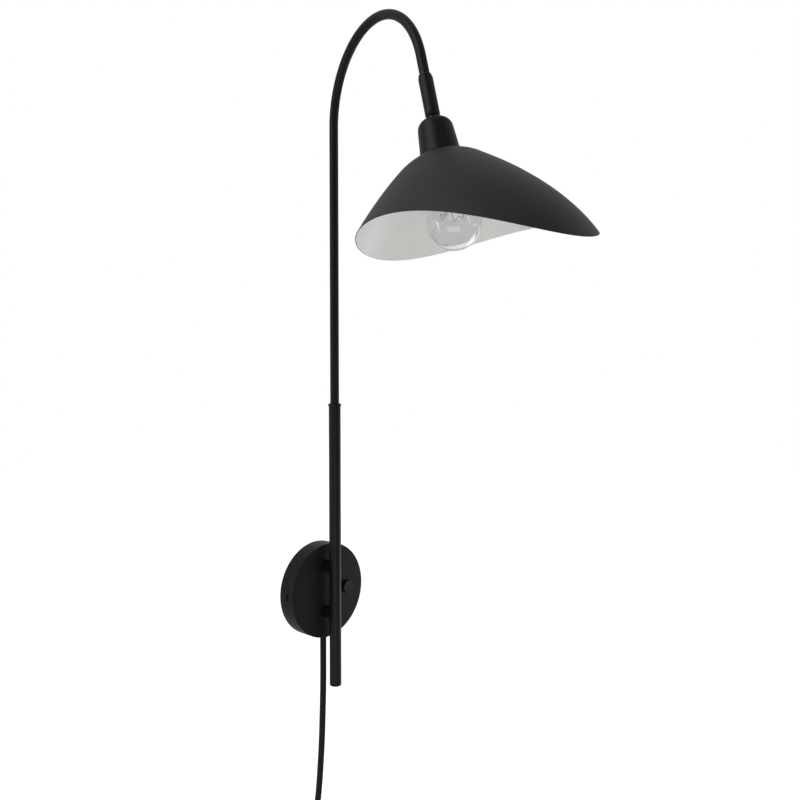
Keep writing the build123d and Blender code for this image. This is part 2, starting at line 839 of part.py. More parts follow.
with BuildPart() as shade_ring:
    with BuildSketch(tip_plane.offset(neck_start + shade_wall)):
        Circle(shade_ring_radius)
        Circle(holder_radius + slip_gap, mode=Mode.SUBTRACT)
    extrude(amount=shade_ring_height)
shade_ring.part.label = "shade_ring"
export_step(shade_ring.part, "parts/shade_ring.step")

# ---- Lamp holder and bulb ------------------------------------------------------------

holder_floor_start = neck_start - holder_lip_height
with BuildPart() as holder_cap:
    with BuildSketch(tip_section):
        with BuildLine():
            Polyline(
                (stud_thread_radius + slip_gap, holder_start),
                (lock_nut_radius, holder_start),
                (lock_nut_radius, holder_start + holder_boss_height),
                (holder_cap_radius, holder_floor_start - holder_cap_side),
                (holder_cap_radius, holder_floor_start),
                (holder_cap_radius - holder_cap_wall, holder_floor_start),
                (
                    holder_cap_radius - holder_cap_wall,
                    holder_floor_start - holder_cap_side + holder_cap_wall,
                ),
                (lock_nut_radius, holder_start + holder_boss_height + 2 * holder_cap_wall),
                (
                    stud_thread_radius + slip_gap,
                    holder_start + holder_boss_height + 2 * holder_cap_wall,
                ),
                close=True,
            )
        make_face()
    revolve(axis=TIP_AXIS)
holder_cap.part.label = "holder_cap"
export_step(holder_cap.part, "parts/holder_cap.step")

with BuildPart() as holder_skirt:
    with BuildSketch(tip_plane.offset(holder_floor_start)):
        Circle(holder_lip_radius)
    extrude(amount=holder_lip_height)
    with BuildSketch(tip_plane.offset(neck_start)):
        Circle(holder_radius)
        Circle(holder_bore_radius, mode=Mode.SUBTRACT)
    extrude(amount=holder_mouth - neck_start)
holder_skirt.part.label = "holder_skirt"
export_step(holder_skirt.part, "parts/holder_skirt.step")

with BuildPart() as holder_contacts:
    with BuildSketch(tip_plane.offset(neck_start)):
        Circle(contact_stem_radius)
    extrude(amount=bulb_tip - seat_gap - neck_start)
    with BuildSketch(tip_plane.offset(bulb_tip - seat_gap)):
        Circle(contact_radius)
    extrude(amount=-contact_height)
holder_contacts.part.label = "holder_contacts"
export_step(holder_contacts.part, "parts/holder_contacts.step")

with BuildPart() as bulb_glass:
    with BuildSketch(tip_section):
        with BuildLine() as glass_line:
            globe = CenterArc((0, bulb_centre), bulb_radius, 90, -bulb_neck_angle)
            TangentArc(
                globe @ 1, (bulb_cap_radius, bulb_cap_end + 2 * slip_gap), tangent=globe % 1
            )
            offset(amount=glass_wall, side=Side.RIGHT)
        make_face()
    revolve(axis=TIP_AXIS)
bulb_glass.part.label = "bulb_glass"
export_step(bulb_glass.part, "parts/bulb_glass.step")

with BuildPart() as bulb_cap:
    with BuildSketch(tip_section):
        with BuildLine():
            Polyline(
                (0, bulb_tip),
                (bulb_contact_radius, bulb_tip),
                (bulb_contact_radius, bulb_tip + bulb_contact_height),
                (bulb_cap_radius, bulb_tip + bulb_contact_height + bulb_cap_taper),
                (bulb_cap_radius, bulb_cap_end),
                (bulb_cap_radius - bulb_cap_wall, bulb_cap_end),
                (
                    bulb_cap_radius - bulb_cap_wall,
                    bulb_tip + bulb_contact_height + bulb_cap_taper,
                ),
                (bulb_contact_radius, bulb_tip + 2 * bulb_contact_height),
                (0, bulb_tip + 2 * bulb_contact_height),
                close=True,
            )
        make_face()
    revolve(axis=TIP_AXIS)
bulb_cap.part.label = "bulb_cap"
export_step(bulb_cap.part, "parts/bulb_cap.step")

with BuildPart() as bulb_stem:
    with BuildSketch(tip_section):
        with BuildLine():
            Polyline(
                (0, bulb_cap_end),
                (bulb_cap_radius - glass_wall - seat_gap, bulb_cap_end),
                (stem_radius, bulb_cap_end + stem_flare_height),
                (stem_radius, bulb_cap_end + stem_length),
                (0, bulb_cap_end + stem_length),
                close=True,
            )
        make_face()
    revolve(axis=TIP_AXIS)
bulb_stem.part.label = "bulb_stem"
export_step(bulb_stem.part, "parts/bulb_stem.step")

# The glowing wire is strung between two stiff wires that stand on the glass stem.
wire_foot = bulb_cap_end + stem_length + seat_gap
with BuildPart() as filament:
    with BuildLine(tip_section) as wire_path:
        FilletPolyline(
            (-stem_radius / 2, wire_foot),
            (-wire_spread, wire_foot + wire_length),
            (-wire_spread / 2, wire_foot + wire_length + wire_zigzag),
            (0, wire_foot + wire_length - wire_zigzag),
            (wire_spread / 2, wire_foot + wire_length + wire_zigzag),
            (wire_spread, wire_foot + wire_length),
            (stem_radius / 2, wire_foot),
            radius=2 * wire_radius,
        )
    with BuildSketch(start_plane(wire_path.wire())):
        Circle(wire_radius)
    sweep(path=wire_path.wire())
filament.part.label = "filament"
export_step(filament.part, "parts/filament.step")

# ---- Push button and switch ----------------------------------------------------------

with BuildPart() as push_button:
    with BuildSketch(room_plane(button_across, button_height, plate_depth + button_proud)):
        Circle(button_radius)
    extrude(amount=-button_length)
    fillet(push_button.edges().group_by(Axis.Y)[0], button_edge_radius)
    with BuildSketch(room_plane(button_across, button_height, plate_inside - seat_gap)):
        Circle(button_flange_radius)
    extrude(amount=-button_flange_height)
push_button.part.label = "push_button"
export_step(push_button.part, "parts/push_button.step")

with BuildPart() as switch_housing:
    with BuildSketch(room_plane(button_across, button_height, plate_inside)):
        Circle(housing_outer_radius)
    extrude(amount=-housing_depth)
    with BuildSketch(room_plane(button_across, button_height, plate_inside)):
        Circle(housing_inner_radius)
    extrude(amount=-(housing_depth - housing_floor), mode=Mode.SUBTRACT)
switch_housing.part.label = "switch_housing"
export_step(switch_housing.part, "parts/switch_housing.step")

switch_body_back = plate_inside - housing_depth + housing_floor
switch_body_front = plate_depth + button_proud - button_length - button_travel - switch_gap
with BuildPart() as switch_body:
    with BuildSketch(room_plane(button_across, button_height, switch_body_back)):
        Circle(housing_inner_radius - slip_gap)
    extrude(amount=switch_body_front - switch_body_back)
switch_body.part.label = "switch_body"
export_step(switch_body.part, "parts/switch_body.step")

# ---- Wiring inside the plate ---------------------------------------------------------

with BuildPart() as terminal_block:
    with BuildSketch(room_plane(terminal_across, terminal_height, plate_inside)):
        Rectangle(terminal_width, terminal_rise)
    extrude(amount=-terminal_depth)
    with BuildSketch(
        room_plane(terminal_across, terminal_height, plate_inside - terminal_depth)
    ):
        with GridLocations(terminal_width / 3, terminal_rise / 2, 3, 2):
            Circle(terminal_screw_radius)
    extrude(amount=terminal_screw_depth, mode=Mode.SUBTRACT)
terminal_block.part.label = "terminal_block"
export_step(terminal_block.part, "parts/terminal_block.step")

with BuildPart() as earth_screw:
    with BuildSketch(room_plane(earth_screw_across, 0, bracket_thickness)):
        Circle(earth_screw_head_radius)
    extrude(amount=earth_screw_head_height)
    with BuildSketch(room_plane(earth_screw_across, 0, bracket_thickness)):
        Circle(earth_screw_radius)
    extrude(amount=-bracket_thickness)
earth_screw.part.label = "earth_screw"
export_step(earth_screw.part, "parts/earth_screw.step")

switch_lead_start = terminal_across + terminal_width / 2
switch_lead_end = button_across - housing_outer_radius - slip_gap
with BuildPart() as switch_leads:
    lead_plane = Plane(
        origin=(switch_lead_start, -cord_exit_depth, button_height), z_dir=(1, 0, 0)
    )
    with BuildSketch(lead_plane):
        with GridLocations(0, 2 * core_spread, 1, 2):
            Circle(core_radius)
    extrude(amount=switch_lead_end - switch_lead_start)
switch_leads.part.label = "switch_leads"
export_step(switch_leads.part, "parts/switch_leads.step")

with BuildPart() as cord_gland:
    with BuildSketch(Plane(origin=(0, -cord_exit_depth, gland_face), z_dir=UP)):
        Circle(gland_radius)
    extrude(amount=2 * gland_flange)
    with BuildSketch(room_plane(0, 0, 0)):
        Circle(plate_radius)
    extrude(amount=plate_depth, mode=Mode.SUBTRACT)
    with BuildSketch(Plane(origin=(0, -cord_exit_depth, gland_face), z_dir=UP)):
        Circle(gland_body_radius)
    extrude(amount=gland_length)
    with BuildSketch(Plane(origin=(0, -cord_exit_depth, gland_face), z_dir=UP)):
        Circle(cord_radius + slip_gap)
    extrude(amount=gland_length, mode=Mode.SUBTRACT)
cord_gland.part.label = "cord_gland"
export_step(cord_gland.part, "parts/cord_gland.step")

gland_nut_face = gland_face + gland_flange + plate_wall + 2 * seat_gap
with BuildPart() as gland_nut:
    with BuildSketch(Plane(origin=(0, -cord_exit_depth, gland_nut_face), z_dir=UP)):
        RegularPolygon(gland_nut_radius, 6)
        Circle(gland_body_radius, mode=Mode.SUBTRACT)
    extrude(amount=gland_nut_height)
gland_nut.part.label = "gland_nut"
export_step(gland_nut.part, "parts/gland_nut.step")

with BuildPart() as cord_clamp:
    with BuildSketch(Plane(origin=(0, -plate_inside, clamp_height), z_dir=UP)):
        with Locations((0, clamp_depth / 2)):
            Rectangle(clamp_width, clamp_depth)
    extrude(amount=clamp_rise)
    with BuildSketch(Plane(origin=(0, -cord_exit_depth, clamp_height), z_dir=UP)):
        Circle(cord_radius + slip_gap)
    extrude(amount=clamp_rise, mode=Mode.SUBTRACT)
cord_clamp.part.label = "cord_clamp"
export_step(cord_clamp.part, "parts/cord_clamp.step")

sheath_end = clamp_height + clamp_rise + 2 * cord_radius
with BuildPart() as cord_inner_end:
    with BuildSketch(Plane(origin=(0, -cord_exit_depth, gland_face), z_dir=UP)):
        Circle(cord_radius)
    extrude(amount=sheath_end - gland_face)
cord_inner_end.part.label = "cord_inner_end"
export_step(cord_inner_end.part, "parts/cord_inner_end.step")

terminal_bottom = terminal_height - terminal_rise / 2
with BuildPart() as mains_cores:
    with BuildSketch(Plane(origin=(0, -cord_exit_depth, sheath_end), z_dir=UP)):
        with GridLocations(core_spread, 0, 3, 1):
            Circle(core_radius)
    extrude(amount=terminal_bottom - sheath_end)
mains_cores.part.label = "mains_cores"
export_step(mains_cores.part, "parts/mains_cores.step")

# The lamp's lead climbs from the terminals, through the nipple and up the tube. At the
# top of the fixed tubes it goes on in the arched tube, which turns round it.
lead_drop = nipple_inside - lead_bend_radius - seat_gap
with BuildPart() as lead_base:
    with BuildLine(Plane(origin=(0, 0, 0), x_dir=(0, -1, 0), z_dir=(-1, 0, 0))) as lead_path:
        FilletPolyline(
            (lead_drop, terminal_height + terminal_rise / 2),
            (lead_drop, post_heights[0]),
            (tube_standoff, post_heights[0]),
            (tube_standoff, arch_tube_bottom),
            radius=lead_bend_radius,
        )
    with BuildSketch(start_plane(lead_path.wire())):
        Circle(lead_radius)
    sweep(path=lead_path.wire())
lead_base.part.label = "lead_base"
export_step(lead_base.part, "parts/lead_base.step")

with BuildPart() as lead_arm:
    with BuildLine(arm_plane) as arm_lead_path:
        Line((0, arch_tube_bottom + seat_gap), (0, arch_spring_height))
        bend = CenterArc((arch_radius, arch_spring_height), arch_radius, 180, -arch_angle)
        PolarLine(bend @ 1, pad_start - seat_gap, direction=bend % 1)
    with BuildSketch(tube_axis_plane.offset(arch_tube_bottom + seat_gap)):
        Circle(lead_radius)
    sweep(path=arm_lead_path.wire())
lead_arm.part.label = "lead_arm"
export_step(lead_arm.part, "parts/lead_arm.step")

with BuildPart() as lead_shade:
    with BuildSketch(tip_plane.offset(ball_centre - ball_radius / 2)):
        Circle(lead_radius)
    extrude(amount=holder_floor_start - ball_centre + ball_radius / 2)
lead_shade.part.label = "lead_shade"
export_step(lead_shade.part, "parts/lead_shade.step")

# ---- Supply cord, its coil and the plug ----------------------------------------------

# The cord hangs from the gland, falls back to the wall and bends into its coil.
cord_points = [
    (0.0, -cord_exit_depth, gland_face),
    (0.0, -cord_exit_depth, -96.0),
    (0.2, -14.3, -136.0),
    (-0.1, -13.1, -175.0),
    (0.2, -11.0, -213.0),
    (-0.3, -8.4, -249.0),
    (-1.6, -6.3, -283.0),
    (-6.2, -5.9, -311.0),
    (-14.8, -5.9, -336.0),
    (-25.7, -5.9, -357.4),
]
cord_radii = corner_radii(cord_points)
with BuildPart() as supply_cord:
    with BuildLine() as cord_line:
        FilletPolyline(*cord_points, radius=cord_radii)
    with BuildSketch(start_plane(cord_line.wire())):
        Circle(cord_radius)
    sweep(path=cord_line.wire())
supply_cord.part.label = "supply_cord"
export_step(supply_cord.part, "parts/supply_cord.step")
print("cord radii, mm:", [round(radius) for radius in cord_radii])

# The coil lies flat against the wall. It winds inwards for coil_turns_in turns, climbs
# away from the wall in the half turn where it reverses, and winds outwards again until
# it heads straight down.
coil_start = Vector(*cord_points[-1])
coil_heading = (coil_start - Vector(*cord_points[-2])).normalized()
first_angle = math.atan2(-coil_heading.X, coil_heading.Z)
coil_centre = (
    coil_start
    + coil_heading * (2 * cord_radius)
    - Vector(math.cos(first_angle), 0, math.sin(first_angle)) * coil_radius
)
coil_turns = 2 * coil_turns_in + (math.pi - first_angle) / math.tau


def coil_place(turns):
    """The point of the coil's centre line after some turns, and the way it heads."""
    angle = first_angle + math.tau * turns
    inward = min(turns, 2 * coil_turns_in - turns)
    radius = coil_radius - coil_pitch * inward
    climb = min(max(turns - coil_turns_in + 0.25, 0.0), 0.5) * math.tau
    depth = -coil_start.Y + coil_pitch * (1 - math.cos(climb)) / 2
    outward = Vector(math.cos(angle), 0, math.sin(angle))
    onward = Vector(-math.sin(angle), 0, math.cos(angle))
    drift = 0.0
    if abs(turns - coil_turns_in) > 0.01:
        drift = math.copysign(coil_pitch / math.tau, turns - coil_turns_in)
    place = Vector(coil_centre.X, -depth, coil_centre.Z) + outward * radius
    heading = onward * radius + outward * drift - Vector(0, 1, 0) * (
        coil_pitch * math.sin(climb) / 2
    )
    return place, heading.normalized()


def two_arcs(start, heading, end, end_heading):
    """Two tangent arcs that join two points with a given heading at each."""
    across = end - start
    both = heading + end_heading
    square = 2 * (heading.dot(end_heading) - 1)
    slope = -2 * across.dot(both)
    reach_out = (-slope - math.sqrt(slope**2 - 4 * square * across.dot(across))) / (2 * square)
    middle = (start + end + (heading - end_heading) * reach_out) / 2
    first = TangentArc(start, middle, tangent=heading)
    TangentArc(middle, end, tangent=first % 1)


with BuildPart() as cord_coil:
    with BuildLine() as coil_line:
        here, heading = coil_place(0)[0], coil_heading
        Line(coil_start, here)
        quarter_turns = [turn / 4 for turn in range(1, math.floor(4 * coil_turns) + 1)]
        for turns in quarter_turns + [coil_turns]:
            there, next_heading = coil_place(turns)
            two_arcs(here, heading, there, next_heading)
            here, heading = there, next_heading
        coil_end = here + heading * (2 * cord_radius)
        Line(here, coil_end)
    with BuildSketch(start_plane(coil_line.wire())):
        Circle(cord_radius)
    sweep(path=coil_line.wire())
cord_coil.part.label = "cord_coil"
export_step(cord_coil.part, "parts/cord_coil.step")

coil_samples = 600
coil_length = coil_line.wire().length
coil_marks = [
    tuple(coil_line.wire().position_at(mark / coil_samples))
    for mark in range(coil_samples + 1)
]
half_lap = round(coil_samples * math.pi * (coil_radius - coil_pitch * coil_turns_in) / coil_length)
closest = min(
    math.dist(coil_marks[one], coil_marks[other])
    for one in range(coil_samples)
    for other in range(one + half_lap, coil_samples + 1)
)
print("least gap in the coil, mm:", round(closest - 2 * cord_radius, 2))
# A short tail hangs from the coil and swings a little to the left, to the plug.
tail_middle = coil_end + heading * (tail_length / 2)
tail_heading = heading.rotate(Axis.Y, tail_swing)
tail_points = [
    tuple(coil_end + heading * (2 * slip_gap)),
    tuple(tail_middle),
    tuple(tail_middle + tail_heading * (tail_length / 2)),
]
with BuildPart() as cord_tail:
    with BuildLine() as tail_line:
        FilletPolyline(*tail_points, radius=corner_radii(tail_points))
    with BuildSketch(start_plane(tail_line.wire())):
        Circle(cord_radius)
    sweep(path=tail_line.wire())
cord_tail.part.label = "cord_tail"
export_step(cord_tail.part, "parts/cord_tail.step")

for tube, line in ((supply_cord, cord_line), (cord_coil, coil_line), (cord_tail, tail_line)):
    drawn = math.pi * cord_radius**2 * line.wire().length
    print(tube.part.label, "length, mm:", round(line.wire().length, 1), end=", ")
    print("volume over section times length:", round(tube.part.volume / drawn, 4))

tie_angle = (first_angle + math.pi) / 2
tie_turns = (tie_angle - first_angle) / math.tau
tie_out = Vector(math.cos(tie_angle), 0, math.sin(tie_angle))
tie_plane = Plane(
    origin=(coil_centre.X, coil_start.Y - coil_pitch / 2, coil_centre.Z),
    x_dir=tie_out,
    z_dir=tie_out.cross(Vector(0, -1, 0)),
)
tie_outer = coil_radius + coil_pitch * tie_turns + cord_radius + tie_gap
tie_inner = coil_radius - coil_pitch * (2 + tie_turns) - cord_radius - tie_gap
tie_depth = coil_pitch + 2 * cord_radius + 2 * seat_gap
tie_axis = Axis((coil_centre.X, 0, coil_centre.Z), (0, 1, 0))
tie_sweep = math.degrees(tie_width / coil_radius)
with BuildPart() as cord_tie:
    with BuildSketch(tie_plane):
        with Locations(((tie_outer + tie_inner) / 2, 0)):
            RectangleRounded(
                tie_outer - tie_inner + 2 * tie_thickness,
                tie_depth + 2 * tie_thickness,
                tie_corner_radius + tie_thickness,
            )
            RectangleRounded(
                tie_outer - tie_inner, tie_depth, tie_corner_radius, mode=Mode.SUBTRACT
            )
    revolve(axis=tie_axis, revolution_arc=tie_sweep)
cord_tie.part.label = "cord_tie"
export_step(cord_tie.part, "parts/cord_tie.step")

plug_plane = Plane(origin=tail_line.wire() @ 1, x_dir=(0, 1, 0), z_dir=tail_heading)
with BuildPart() as plug_body:
    with BuildSketch(plug_plane):
        Circle(relief_tip_radius)
    with BuildSketch(plug_plane.offset(relief_length)):
        Circle(relief_root_radius)
    loft()
    with BuildSketch(plug_plane.offset(relief_length)):
        RectangleRounded(plug_thickness, plug_width, plug_corner_radius)
    extrude(amount=plug_length)
    plug_face = plug_body.faces().sort_by(Axis(tuple(coil_end), tail_heading))[-1]
    fillet(plug_face.edges(), plug_edge_radius)
plug_body.part.label = "plug_body"
export_step(plug_body.part, "parts/plug_body.step")

pin_plane = plug_plane.offset(relief_length + plug_length)
with BuildPart() as plug_pins:
    with BuildSketch(pin_plane):
        with Locations((-ground_pin_spacing / 2, 0)):
            with GridLocations(0, blade_spacing, 1, 2):
                Rectangle(blade_width, blade_thickness)
    extrude(amount=blade_length)
    with BuildSketch(pin_plane):
        with Locations((ground_pin_spacing / 2, 0)):
            Circle(ground_pin_radius)
    extrude(amount=ground_pin_length)
plug_pins.part.label = "plug_pins"
export_step(plug_pins.part, "parts/plug_pins.step")
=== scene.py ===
"""A plug-in wall lamp dressed for its photograph.

A round back plate carries an upright tube. An arched tube turns in it and holds a
saddle-rimmed shade on a ball joint. A textile cord leaves the plate's foot. Points are in
metres. Profiles and the sizes of the wall side, the arm and the head are in millimetres.
"""
import json
import logging
import math
from dataclasses import dataclass, field
from enum import Enum
from typing import Sequence

import bmesh
import bpy
import numpy as np
from mathutils import Matrix


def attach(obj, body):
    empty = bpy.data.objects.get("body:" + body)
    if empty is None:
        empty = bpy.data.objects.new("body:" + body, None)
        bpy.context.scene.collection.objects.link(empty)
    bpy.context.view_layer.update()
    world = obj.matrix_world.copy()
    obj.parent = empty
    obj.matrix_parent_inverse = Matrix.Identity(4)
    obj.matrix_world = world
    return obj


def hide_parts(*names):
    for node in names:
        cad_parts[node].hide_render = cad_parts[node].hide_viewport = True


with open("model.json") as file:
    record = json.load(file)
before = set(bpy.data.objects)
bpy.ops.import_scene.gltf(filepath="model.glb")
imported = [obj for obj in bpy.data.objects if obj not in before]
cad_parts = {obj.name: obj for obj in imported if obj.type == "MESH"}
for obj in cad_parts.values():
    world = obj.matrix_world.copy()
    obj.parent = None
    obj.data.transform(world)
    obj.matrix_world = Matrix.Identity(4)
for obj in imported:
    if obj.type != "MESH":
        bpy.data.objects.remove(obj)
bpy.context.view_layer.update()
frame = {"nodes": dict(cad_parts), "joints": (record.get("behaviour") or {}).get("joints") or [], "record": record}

LOG = logging.getLogger("wall_lamp")
MM = 0.001
RIGHT, BACK, UP = np.eye(3)
WHITE = (1.0, 1.0, 1.0, 1.0)
Piece = bpy.types.Object
Socket = bpy.types.NodeSocket
TURN = 2 * math.pi


# ---- Frames and curves ---------------------------------------------------------------


def unit(vector: np.ndarray) -> np.ndarray:
    """Returns vectors of length one, along the last axis."""
    vector = np.asarray(vector, float)
    return vector / np.linalg.norm(vector, axis=-1, keepdims=True)


@dataclass(frozen=True)
class Axes:
    """A right-handed frame: an origin and three directions of length one."""

    origin: np.ndarray
    across: np.ndarray
    along: np.ndarray

    @property
    def side(self) -> np.ndarray:
        """The third direction, square to the other two."""
        return np.cross(self.along, self.across)

    def place(self, across: np.ndarray, side: np.ndarray, along: np.ndarray) -> np.ndarray:
        """Turns arrays of local coordinates, in millimetres, into points in metres.

        Args:
            across: distances along the first direction.
            side: distances along the third direction.
            along: distances along the frame's axis.

        Returns:
            An array of points, with one more axis than the coordinates.
        """
        parts = np.broadcast_arrays(across, side, along)
        ways = (self.across, self.side, self.along)
        return self.origin + MM * sum(part[..., None] * way for part, way in zip(parts, ways))


def joint(name: str) -> dict:
    """Returns the frame's joint of that name."""
    return next(entry for entry in frame["joints"] if entry["name"] == name)


def arc(
    centre: Sequence[float], radius: float, start: float, end: float, steps: int
) -> np.ndarray:
    """Returns points of a circle from one angle to another, in degrees: centre + r (cos, sin)."""
    angle = np.radians(np.linspace(start, end, steps))
    return np.asarray(centre) + radius * np.stack([np.cos(angle), np.sin(angle)], axis=-1)


def tangent_arc(start: np.ndarray, heading: np.ndarray, end: np.ndarray, steps: int) -> np.ndarray:
    """Returns an arc that leaves a point with a heading and ends at another point.

    Its centre lies square to the heading at the signed radius d.d / (2 d.n), where d joins
    the two points and n is the normal to the heading.

    Args:
        start: the first point, in a plane.
        heading: the direction at the first point.
        end: the last point.
        steps: how many points to return.

    Returns:
        An array of points, the first one left out.
    """
    way = unit(heading)
    normal = np.array([-way[1], way[0]])
    gap = np.asarray(end) - start
    radius = gap @ gap / (2 * (gap @ normal))
    centre = start + normal * radius
    first = math.atan2(*(start - centre)[::-1])
    turn = math.remainder(math.atan2(*(end - centre)[::-1]) - first, TURN)
    return arc(centre, abs(radius), math.degrees(first), math.degrees(first + turn), steps)[1:]


def rounded(corners: Sequence[tuple], closed: bool = False, steps: int = 6) -> np.ndarray:
    """Joins corners by straight runs and rounds each corner by its own radius.

    Each arc touches both runs at radius / tan(half the corner's angle) from the corner.

    Args:
        corners: (radius from the axis, height, rounding) for each corner.
        closed: whether the last corner joins the first.
        steps: points on each arc.

    Returns:
        An array of points in the plane.
    """
    spots = np.array([corner[:2] for corner in corners], float)
    lines = []
    for number, (spot, corner) in enumerate(zip(spots, corners)):
        at_end = number in (0, len(corners) - 1) and not closed
        if corner[2] == 0 or at_end:
            lines.append(spot[None])
            continue
        back = unit(spots[number - 1] - spot)
        onward = unit(spots[(number + 1) % len(corners)] - spot)
        half = math.acos(np.clip(back @ onward, -1, 1)) / 2
        start = spot + back * corner[2] / math.tan(half)
        end = spot + onward * corner[2] / math.tan(half)
        lines.append(start[None])
        lines.append(tangent_arc(start, -back, end, steps))
    return np.concatenate(lines)


# ---- Surfaces ------------------------------------------------------------------------


def put(name: str, data: bpy.types.ID) -> Piece:
    """Makes an object of its data and links it to the scene."""
    piece = bpy.data.objects.new(name, data)
    bpy.context.scene.collection.objects.link(piece)
    return piece


def surface(
    name: str,
    points: np.ndarray,
    wrap_rows: bool = False,
    uv: tuple[np.ndarray, np.ndarray] | None = None,
    second_finish: np.ndarray | None = None,
    sharp_angle: float = 38.0,
) -> Piece:
    """Makes a mesh from a grid of points whose columns go round.

    Args:
        name: the piece's name.
        points: an array (rows, columns, 3).
        wrap_rows: whether the last row joins the first, as on a ring.
        uv: one value more than the columns, and one more than the rows, for a UV map.
        second_finish: True for each row of faces that takes the second material.
        sharp_angle: edges that turn more than this many degrees stay sharp.

    Returns:
        The new object, in the scene.
    """
    rows, columns = points.shape[:2]
    row, column = np.meshgrid(
        np.arange(rows if wrap_rows else rows - 1), np.arange(columns), indexing="ij"
    )
    next_row, next_column = (row + 1) % rows, (column + 1) % columns
    faces = np.stack(
        [
            row * columns + column,
            row * columns + next_column,
            next_row * columns + next_column,
            next_row * columns + column,
        ],
        axis=-1,
    ).reshape(-1, 4)
    mesh = bpy.data.meshes.new(name)
    mesh.from_pydata(points.reshape(-1, 3).tolist(), [], faces.tolist())
    if uv is not None:
        around, along = uv
        corners_u = np.stack([column, column + 1, column + 1, column], axis=-1)
        corners_v = np.stack([row, row, row + 1, row + 1], axis=-1)
        both = np.stack([around[corners_u], along[corners_v]], axis=-1)
        layer = mesh.uv_layers.new(name="surface_uv")
        layer.data.foreach_set("uv", both.astype(np.float32).ravel())
    if second_finish is not None:
        which = np.repeat(second_finish.astype(np.int32), columns)
        mesh.polygons.foreach_set("material_index", which)
    shell = bmesh.new()
    shell.from_mesh(mesh)
    bmesh.ops.remove_doubles(shell, verts=shell.verts, dist=1e-7)
    bmesh.ops.recalc_face_normals(shell, faces=shell.faces)
    shell.to_mesh(mesh)
    shell.free()
    mesh.shade_smooth()
    mesh.set_sharp_from_angle(angle=math.radians(sharp_angle))
    return put(name, mesh)


def lathe(
    name: str, axes: Axes, profile: np.ndarray, ring: bool = False, sides: int = 96
) -> Piece:
    """Turns a profile round an axis: (r cos a, r sin a, height) for each profile point.

    Args:
        name: the piece's name.
        axes: the frame whose axis the profile turns round.
        profile: an array of (radius, height), in millimetres.
        ring: whether the profile is a closed loop.
        sides: points round the axis.

    Returns:
        The new object.
    """
    angle = np.linspace(0, TURN, sides, endpoint=False)
    radius, height = profile.T[..., None]
    points = axes.place(radius * np.cos(angle), radius * np.sin(angle), height)
    return surface(name, points, wrap_rows=ring)


def turned(
    name: str, axes: Axes, corners: Sequence[tuple], ring: bool = False, sides: int = 96
) -> Piece:
    """Turns a profile that is given by its corners, each with its own rounding."""
    return lathe(name, axes, rounded(corners, closed=ring), ring, sides)


def tube(
    name: str, line: np.ndarray, reference: np.ndarray, radius: float | np.ndarray, sides: int = 32
) -> Piece:
    """Carries a circle along a line: line + r (cos a n + sin a b), closed at both ends.

    n is the reference direction made square to the line, and b is square to both.

    Args:
        name: the piece's name.
        line: points of the centre line.
        reference: a direction that the line never takes.
        radius: the circle's radius, or one for each point.
        sides: points round the circle.

    Returns:
        The new object, with a UV map of turns round and metres along.
    """
    heading = unit(np.gradient(line, axis=0))
    normal = unit(reference - (heading @ reference)[:, None] * heading)
    binormal = np.cross(heading, normal)
    angle = np.linspace(0, TURN, sides, endpoint=False)[None, :, None]
    size = np.broadcast_to(radius, len(line))[:, None, None]
    rings = line[:, None] + size * (
        np.cos(angle) * normal[:, None] + np.sin(angle) * binormal[:, None]
    )
    ends = [np.repeat(line[end][None, None], sides, axis=1) for end in (0, -1)]
    steps = np.linalg.norm(np.diff(line, axis=0), axis=1)
    travel = np.concatenate([[0, 0], np.cumsum(steps), [steps.sum()] * 2])
    around = np.linspace(0, 1, sides + 1)
    return surface(name, np.concatenate([ends[0], rings, ends[1]]), uv=(around, travel))


# ---- Shader parts --------------------------------------------------------------------


class Net:
    """Short ways to add nodes to a material's or a group's tree."""

    def __init__(self, tree: bpy.types.NodeTree) -> None:
        """Keeps the tree that the nodes go to."""
        self.tree = tree

    def node(self, kind: str, **settings: object) -> bpy.types.Node:
        """Adds a node of a kind, with its settings."""
        made = self.tree.nodes.new(kind)
        for key, value in settings.items():
            setattr(made, key, value)
        return made

    def feed(self, socket: Socket, value: object) -> None:
        """Links an output to a socket, or sets the socket's own value."""
        if isinstance(value, Socket):
            self.tree.links.new(value, socket)
        else:
            socket.default_value = value

    def fill(self, node: bpy.types.Node, values: dict[str | int, object]) -> None:
        """Feeds some of a node's inputs, by name or number."""
        for key, value in values.items():
            self.feed(node.inputs[key], value)

    def math(self, operation: str, *values: object) -> Socket:
        """Adds a Math node and returns its result."""
        made = self.node("ShaderNodeMath", operation=operation)
        for socket, value in zip(made.inputs, values):
            self.feed(socket, value)
        return made.outputs[0]

    def noise(self, vector: object, scale: float, detail: float = 2.0) -> Socket:
        """Adds a Noise texture and returns its value."""
        made = self.node("ShaderNodeTexNoise")
        self.fill(made, {"Vector": vector, "Scale": scale, "Detail": detail})
        return made.outputs[0]

    def range(self, value: object, low: float, high: float) -> Socket:
        """Maps zero to one onto low to high."""
        made = self.node("ShaderNodeMapRange")
        for socket, setting in zip(made.inputs, (value, 0.0, 1.0, low, high)):
            self.feed(socket, setting)
        return made.outputs[0]

    def blend(self, share: object, first: object, second: object) -> Socket:
        """Mixes two colours by a share and returns the mix."""
        made = self.node("ShaderNodeMix", data_type="RGBA")
        self.fill(made, {"Factor": share, 6: first, 7: second})
        return made.outputs[2]


class Effect(Enum):
    """The surface effects: a name, the names of two inputs and that of the third output."""

    GRAIN = ("fine_grain", "Fineness", "Cloud", "Gloss")
    BRAID = ("braided_yarn", "Strands", "Pitch", "Top")
    DRAWN = ("drawn_lines", "Fineness", "Cloud", "Gloss")


